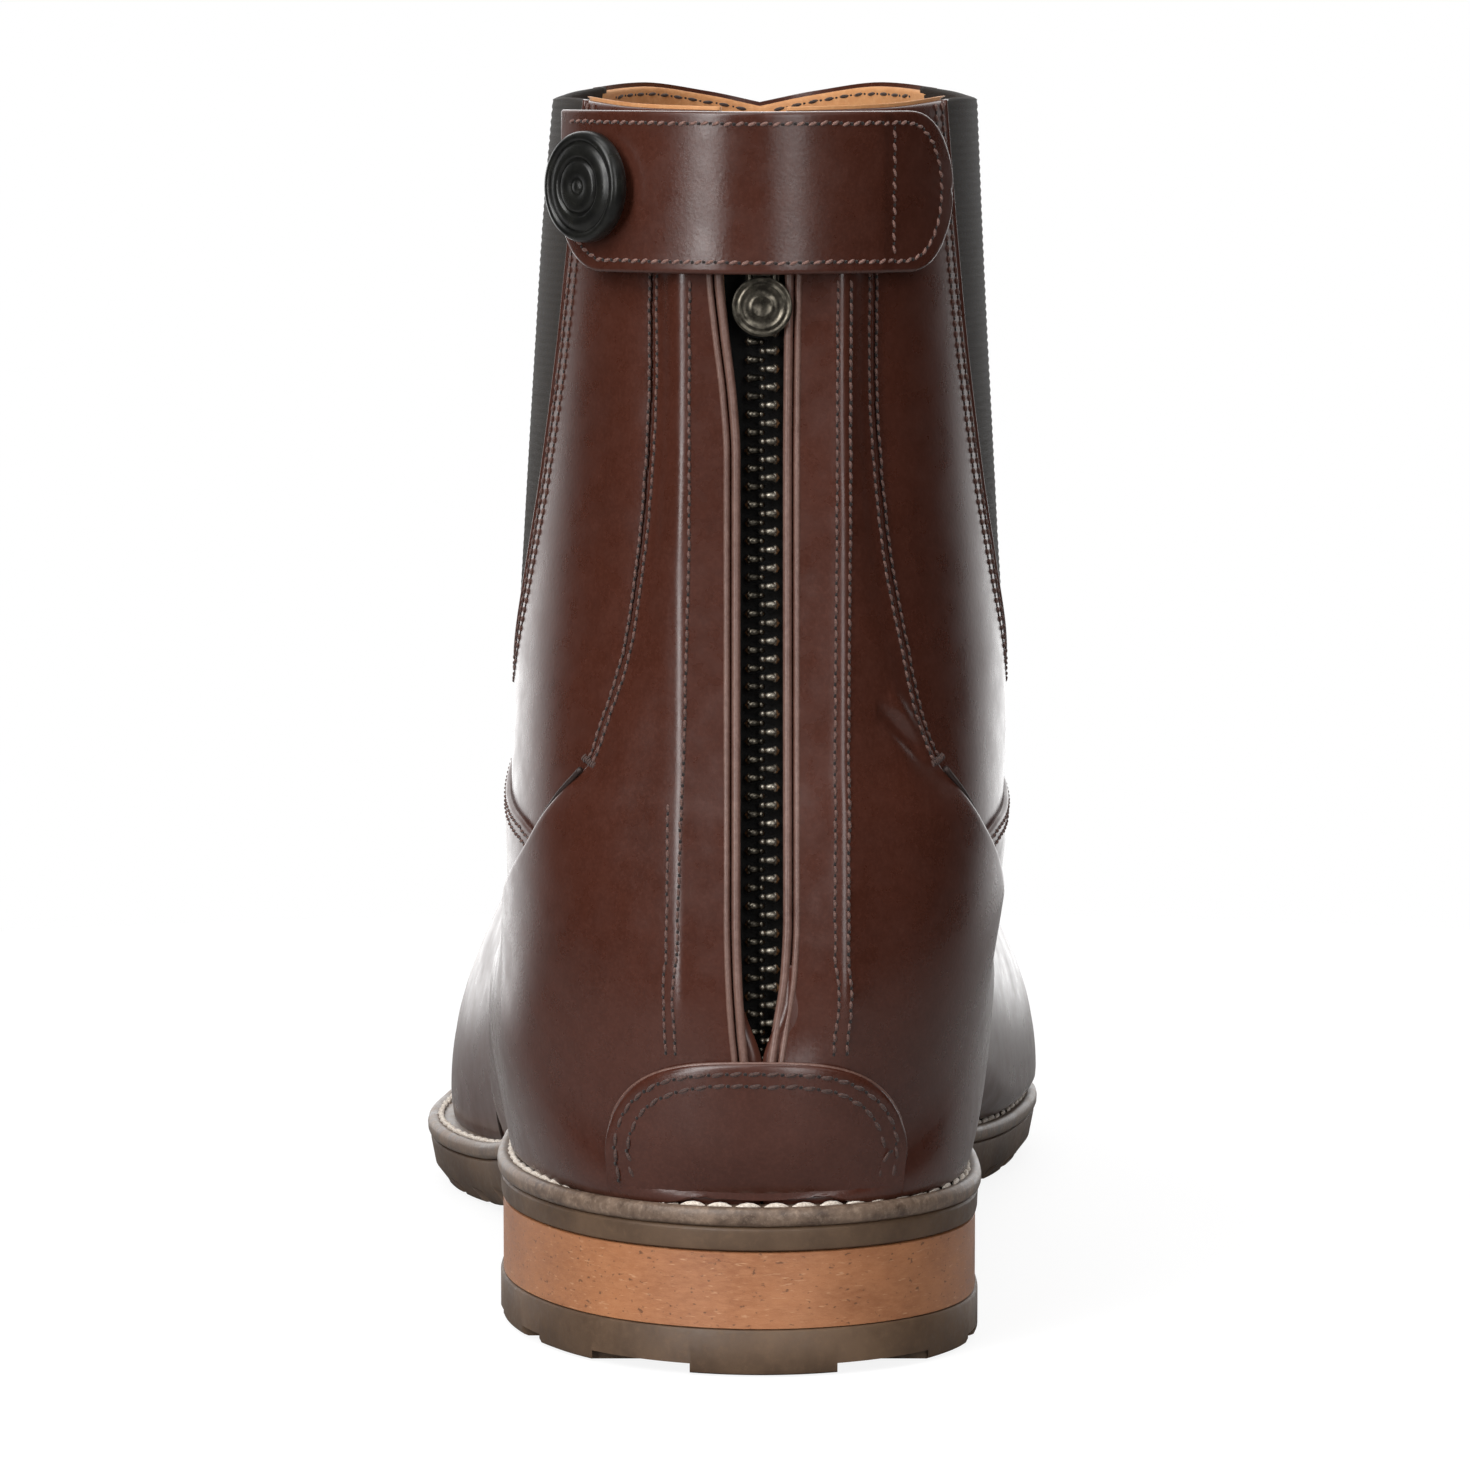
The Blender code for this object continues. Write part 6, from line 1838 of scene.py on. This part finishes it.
def turned(name, profile, placed, finish, steps=96):
    """Round solid from a profile of radius and height in a frame."""
    angle = np.linspace(0, 2 * math.pi, steps, endpoint=False)
    profile = np.array(profile)
    ring = np.stack([profile[:, :1] * np.cos(angle), profile[:, :1] * np.sin(angle),
                     np.repeat(profile[:, 1:], steps, axis=1)], axis=-1)
    made = finish_mesh(name, moved(placed, ring.reshape(-1, 3)), ring_faces(len(profile), steps), finish)
    return soften(made, 50)


def build_snap():
    """Black snap cap with a raised rim and plain rings, on a short post."""
    section = s_at_height(-0.85, SNAP_HEIGHT)
    t = t_at_x(section, SNAP_X)
    normal = upper_normal(np.array(section), np.array(t))
    base = over_upper(np.array(section), np.array(t), STRAP_LAYER[1] + GAP)
    normal = np.array(Matrix.Rotation(math.radians(SNAP_TURN), 3, "Z") @ Vector(normal))
    placed = facing(base + normal * SNAP_STAND, normal)
    profile = [(radius * SNAP_SEEN_RADIUS, height * SNAP_SEEN_THICKNESS) for radius, height in SNAP_PROFILE]
    dress(turned("snap_button", profile, placed, BLACK_METAL), "black_metal", "snap_cap")


# Zip

def back_sections(heights):
    """Sections of the shaft that pass the back's middle at heights."""
    sections = np.linspace(1.0, 2.0, 400)
    z = upper_surface(sections, np.ones_like(sections))[:, 2]
    return np.interp(heights, z, sections)


def back_lines(heights):
    """Middle of the back at heights, and the way out from it."""
    sections = back_sections(heights)
    ones = np.ones_like(sections)
    middle = (upper_surface(sections, -ones) + upper_surface(sections, ones)) / 2
    normal = upper_normal(sections, -ones) + upper_normal(sections, ones)
    normal[:, 0] = 0.0
    return middle, unit(normal)


def build_flap_edges():
    """Folded lips along both edges of the gap over the zip."""
    heights = np.linspace(ZIP_GAP[0][0] + 2, BACK_TOP - 3, 180)
    sections = back_sections(heights)
    for side, name in SIDES:
        fine_s, fine_t = pairs(sections, side * np.linspace(0.75, 1.0, 120))
        points = upper_surface(fine_s, fine_t)
        gap = zip_gap(heights, side)
        beside = [np.interp(-(reach + FLAP_EDGE + 1.0), -np.abs(row[:, 0]), np.abs(places))
                  for row, places, reach in zip(points, fine_t, gap)]
        t = side * np.array(beside)
        face = over_upper(sections, t, quarter_face(sections, t))
        for row, (out, depth, radius) in enumerate(FLAP_RIDGES):
            line = np.stack([side * (gap + out), face[:, 1] + depth, heights], axis=1)
            # the lips take the lighter edge finish: painted highlight on the folded ridges
            dress(tube("flap_piping_%s_%d" % (name, row), line, radius, LIT_EDGE_LEATHER, 12), "leather")


def build_tape():
    """Woven tape behind the slit, with fine level ribs."""
    heights = np.linspace(*TAPE_SPAN, 260)
    across = np.linspace(TAPE_HALF_WIDTH, SLIT_WIDTH / 2 + 0.05, 9)
    wanted = np.stack(pairs(heights, across), axis=-1)[..., ::-1].reshape(-1, 2)
    halves = []
    for side in (1, -1):
        placed = find_on_upper(side, (0, 2), wanted * [side, 1], (1.0, 2.0), (0.7, 1.0))
        half = placed.reshape(len(heights), len(across), 2)
        halves.append(half if side > 0 else half[:, ::-1])
    rows = np.concatenate(halves, axis=1)
    rib = TAPE_RIB_HEIGHT * np.sin(2 * math.pi * heights / TAPE_RIB_PITCH)[:, None]
    near, far = TAPE_LAYER
    outer = over_upper(rows[..., 0], rows[..., 1], near + rib)
    inner = over_upper(rows[..., 0], rows[..., 1], np.full(rows.shape[:2], far))
    dress(solid_sheet("zip_tape_web", outer, inner, ZIP_CLOTH), "zip_cloth", "zip_tape")


def build_teeth():
    """Teeth of both sides in turn, each a rounded bar with a nub that locks in the next."""
    heights = np.arange(TEETH_BOTTOM, CHAIN_SPAN[1], TOOTH_PITCH / 2)
    middles, outs = back_lines(heights)
    side = np.where(np.arange(len(heights)) % 2, -1.0, 1.0)[:, None]
    across = side * np.array([1.0, 0.0, 0.0])
    near = CHAIN_LAYER[0]
    # medial teeth take the brighter finish as painted light, lateral teeth the darker antique one as painted
    # shade
    for name, finish, start in (("medial", LIT_TEETH_METAL, 0), ("lateral", ANTIQUE, 1)):
        verts = np.zeros((0, 3))
        faces = []
        for reach, depth, length, width, height in TOOTH:
            centre = (middles + outs * (near - depth) + across * reach)[start::2]
            more, more_faces = spindles(centre, across[start::2], outs[start::2], length, width, height,
                                        sides=10)
            faces += renumbered(more_faces, len(verts))
            verts = np.concatenate([verts, more])
        dress(finish_mesh("zip_teeth_" + name, verts, faces, finish), "antique_metal", "zip_chain")


def build_pull():
    """Round pull with two raised rings on both faces, hung on the slider's bridge."""
    middle, out = back_lines(np.array([PIVOT_HEIGHT]))
    placed = facing(middle[0] + out[0] * PIVOT_LIFT, out[0])
    half = PULL_THICKNESS / 2
    r = PULL_RADIUS
    face = [(radius * r, height * half) for radius, height in PULL_PROFILE]
    profile = face + [(radius, -height) for radius, height in reversed(face)]
    disc_frame = placed @ Matrix.Translation((0.0, WINDOW_BOTTOM - r + 0.05, 0.0))
    disc = turned("zip_pull_tab", profile, disc_frame, ANTIQUE, 72)
    wide = (NECK_HALF_WIDTH + WINDOW_HALF_WIDTH) / 2
    leg = [(wide, LOOP_SHOULDER, 0.0), (wide, WINDOW_BOTTOM - LOOP_SINK, 0.0)]
    bow = [(wide * math.cos(angle), BOW_RISE * math.sin(angle), 0.0)
           for angle in np.linspace(math.pi, 0, 13)]
    path = [(-x, y, z) for x, y, z in reversed(leg)] + bow + leg
    bar = tube("zip_pull_loop", moved(placed, open_spline(path, 60)), LOOP_RADIUS, ANTIQUE, 12)
    dress(join("zip_pull_tab", [disc, bar]), "antique_metal", "zip_pull", body="zip_pull")


# Floor, light and camera

def area_light(name, place, aim, size, power):
    data = bpy.data.lights.new(name, "AREA")
    data.shape = "RECTANGLE"
    data.size, data.size_y = size
    data.energy = power
    lamp = bpy.data.objects.new(name, data)
    lamp.location = place
    lamp.rotation_euler = (Vector(aim) - Vector(place)).to_track_quat("-Z", "Y").to_euler()
    lamp.visible_camera = False
    bpy.context.scene.collection.objects.link(lamp)
    return lamp


def build_floor():
    """Pale floor, as white as the room apart from the boot's soft shadow."""
    made = Finish("floor", Roughness=0.7, Specular_IOR_Level=0.2)
    path = made.tree.nodes.new("ShaderNodeLightPath")
    tone = made.mix(made.noise(400.0, 2.0, 0.5), (0.80, 0.80, 0.795), (0.83, 0.83, 0.825))
    finish = made.done(made.mix(path.outputs["Is Camera Ray"], FLOOR_BOUNCE, tone))
    tree = finish.node_tree
    glow = tree.nodes.new("ShaderNodeEmission")
    glow.inputs["Strength"].default_value = FLOOR_SHINE
    part = made.span(path.outputs["Is Camera Ray"], 0.0, 1.0, 0.0, FLOOR_GLOW)
    mix = tree.nodes.new("ShaderNodeMixShader")
    made.link(part, mix.inputs["Fac"])
    made.link(made.shader.outputs["BSDF"], mix.inputs[1])
    made.link(glow.outputs["Emission"], mix.inputs[2])
    made.link(mix.outputs["Shader"], tree.nodes["Material Output"].inputs["Surface"])
    angle = np.linspace(0, 2 * math.pi, 96, endpoint=False)
    ring = FLOOR_RADIUS * np.stack([np.cos(angle), np.sin(angle), np.zeros(len(angle))], axis=1)
    ring[:, 1] += SOLE_LENGTH / 2
    floor = finish_mesh("floor", ring, [tuple(range(len(ring)))], finish, False)
    floor.location.z = -FLOOR_DROP


def build_light():
    """Dim room with a white backdrop ahead of the toe, and soft boxes round the heel."""
    world = bpy.data.worlds.new("studio")
    bpy.context.scene.world = world
    world.use_nodes = True
    tree = world.node_tree
    room = tree.nodes["Background"]
    room.inputs["Color"].default_value = (1.0, 1.0, 1.0, 1.0)
    way = tree.nodes.new("ShaderNodeTexCoord")
    split = tree.nodes.new("ShaderNodeSeparateXYZ")
    span = tree.nodes.new("ShaderNodeMapRange")
    span.interpolation_type = "SMOOTHSTEP"
    for socket, value in (("From Min", BACKDROP_SPAN[0]), ("From Max", BACKDROP_SPAN[1]),
                          ("To Min", ROOM_LIGHT), ("To Max", BACKDROP_LIGHT)):
        span.inputs[socket].default_value = value
    tree.links.new(way.outputs["Generated"], split.inputs["Vector"])
    tree.links.new(split.outputs["Y"], span.inputs["Value"])
    tree.links.new(span.outputs["Result"], room.inputs["Strength"])
    seen = tree.nodes.new("ShaderNodeBackground")
    seen.inputs["Color"].default_value = (1.0, 1.0, 1.0, 1.0)
    path = tree.nodes.new("ShaderNodeLightPath")
    mix = tree.nodes.new("ShaderNodeMixShader")
    tree.links.new(path.outputs["Is Camera Ray"], mix.inputs["Fac"])
    tree.links.new(room.outputs["Background"], mix.inputs[1])
    tree.links.new(seen.outputs["Background"], mix.inputs[2])
    tree.links.new(mix.outputs["Shader"], tree.nodes["World Output"].inputs["Surface"])
    for name, turn, distance, height, width, length, power in LIGHTS:
        angle = math.radians(turn)
        place = (distance * math.sin(angle), -distance * math.cos(angle), height)
        area_light(name, place, LIGHT_AIM, (width, length), power)


def build_camera():
    """Camera straight behind the heel, as in the photograph."""
    data = bpy.data.cameras.new("camera")
    data.sensor_fit = "HORIZONTAL"
    data.angle = 2 * math.atan(PHOTO_WIDTH / 2 / CAMERA_FOCUS)
    data.clip_start = 0.01
    camera = bpy.data.objects.new("camera", data)
    camera.location = CAMERA_PLACE
    camera.rotation_euler = (math.radians(90.0 - CAMERA_PITCH), 0.0, 0.0)
    bpy.context.scene.collection.objects.link(camera)
    bpy.context.scene.camera = camera


def main():
    bpy.context.scene.view_settings.view_transform = "Standard"
    build_camera()
    build_light()
    build_floor()
    build_sole()
    build_upper()
    build_gores()
    build_gore_edges()
    build_vamp()
    build_quarters()
    build_zip_side_stitches()
    build_counter()
    table = strap_table()
    build_strap(table)
    build_snap()
    build_flap_edges()
    build_tape()
    build_teeth()
    build_pull()
    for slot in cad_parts["zip_slider"].material_slots:
        slot.material = ANTIQUE


main()
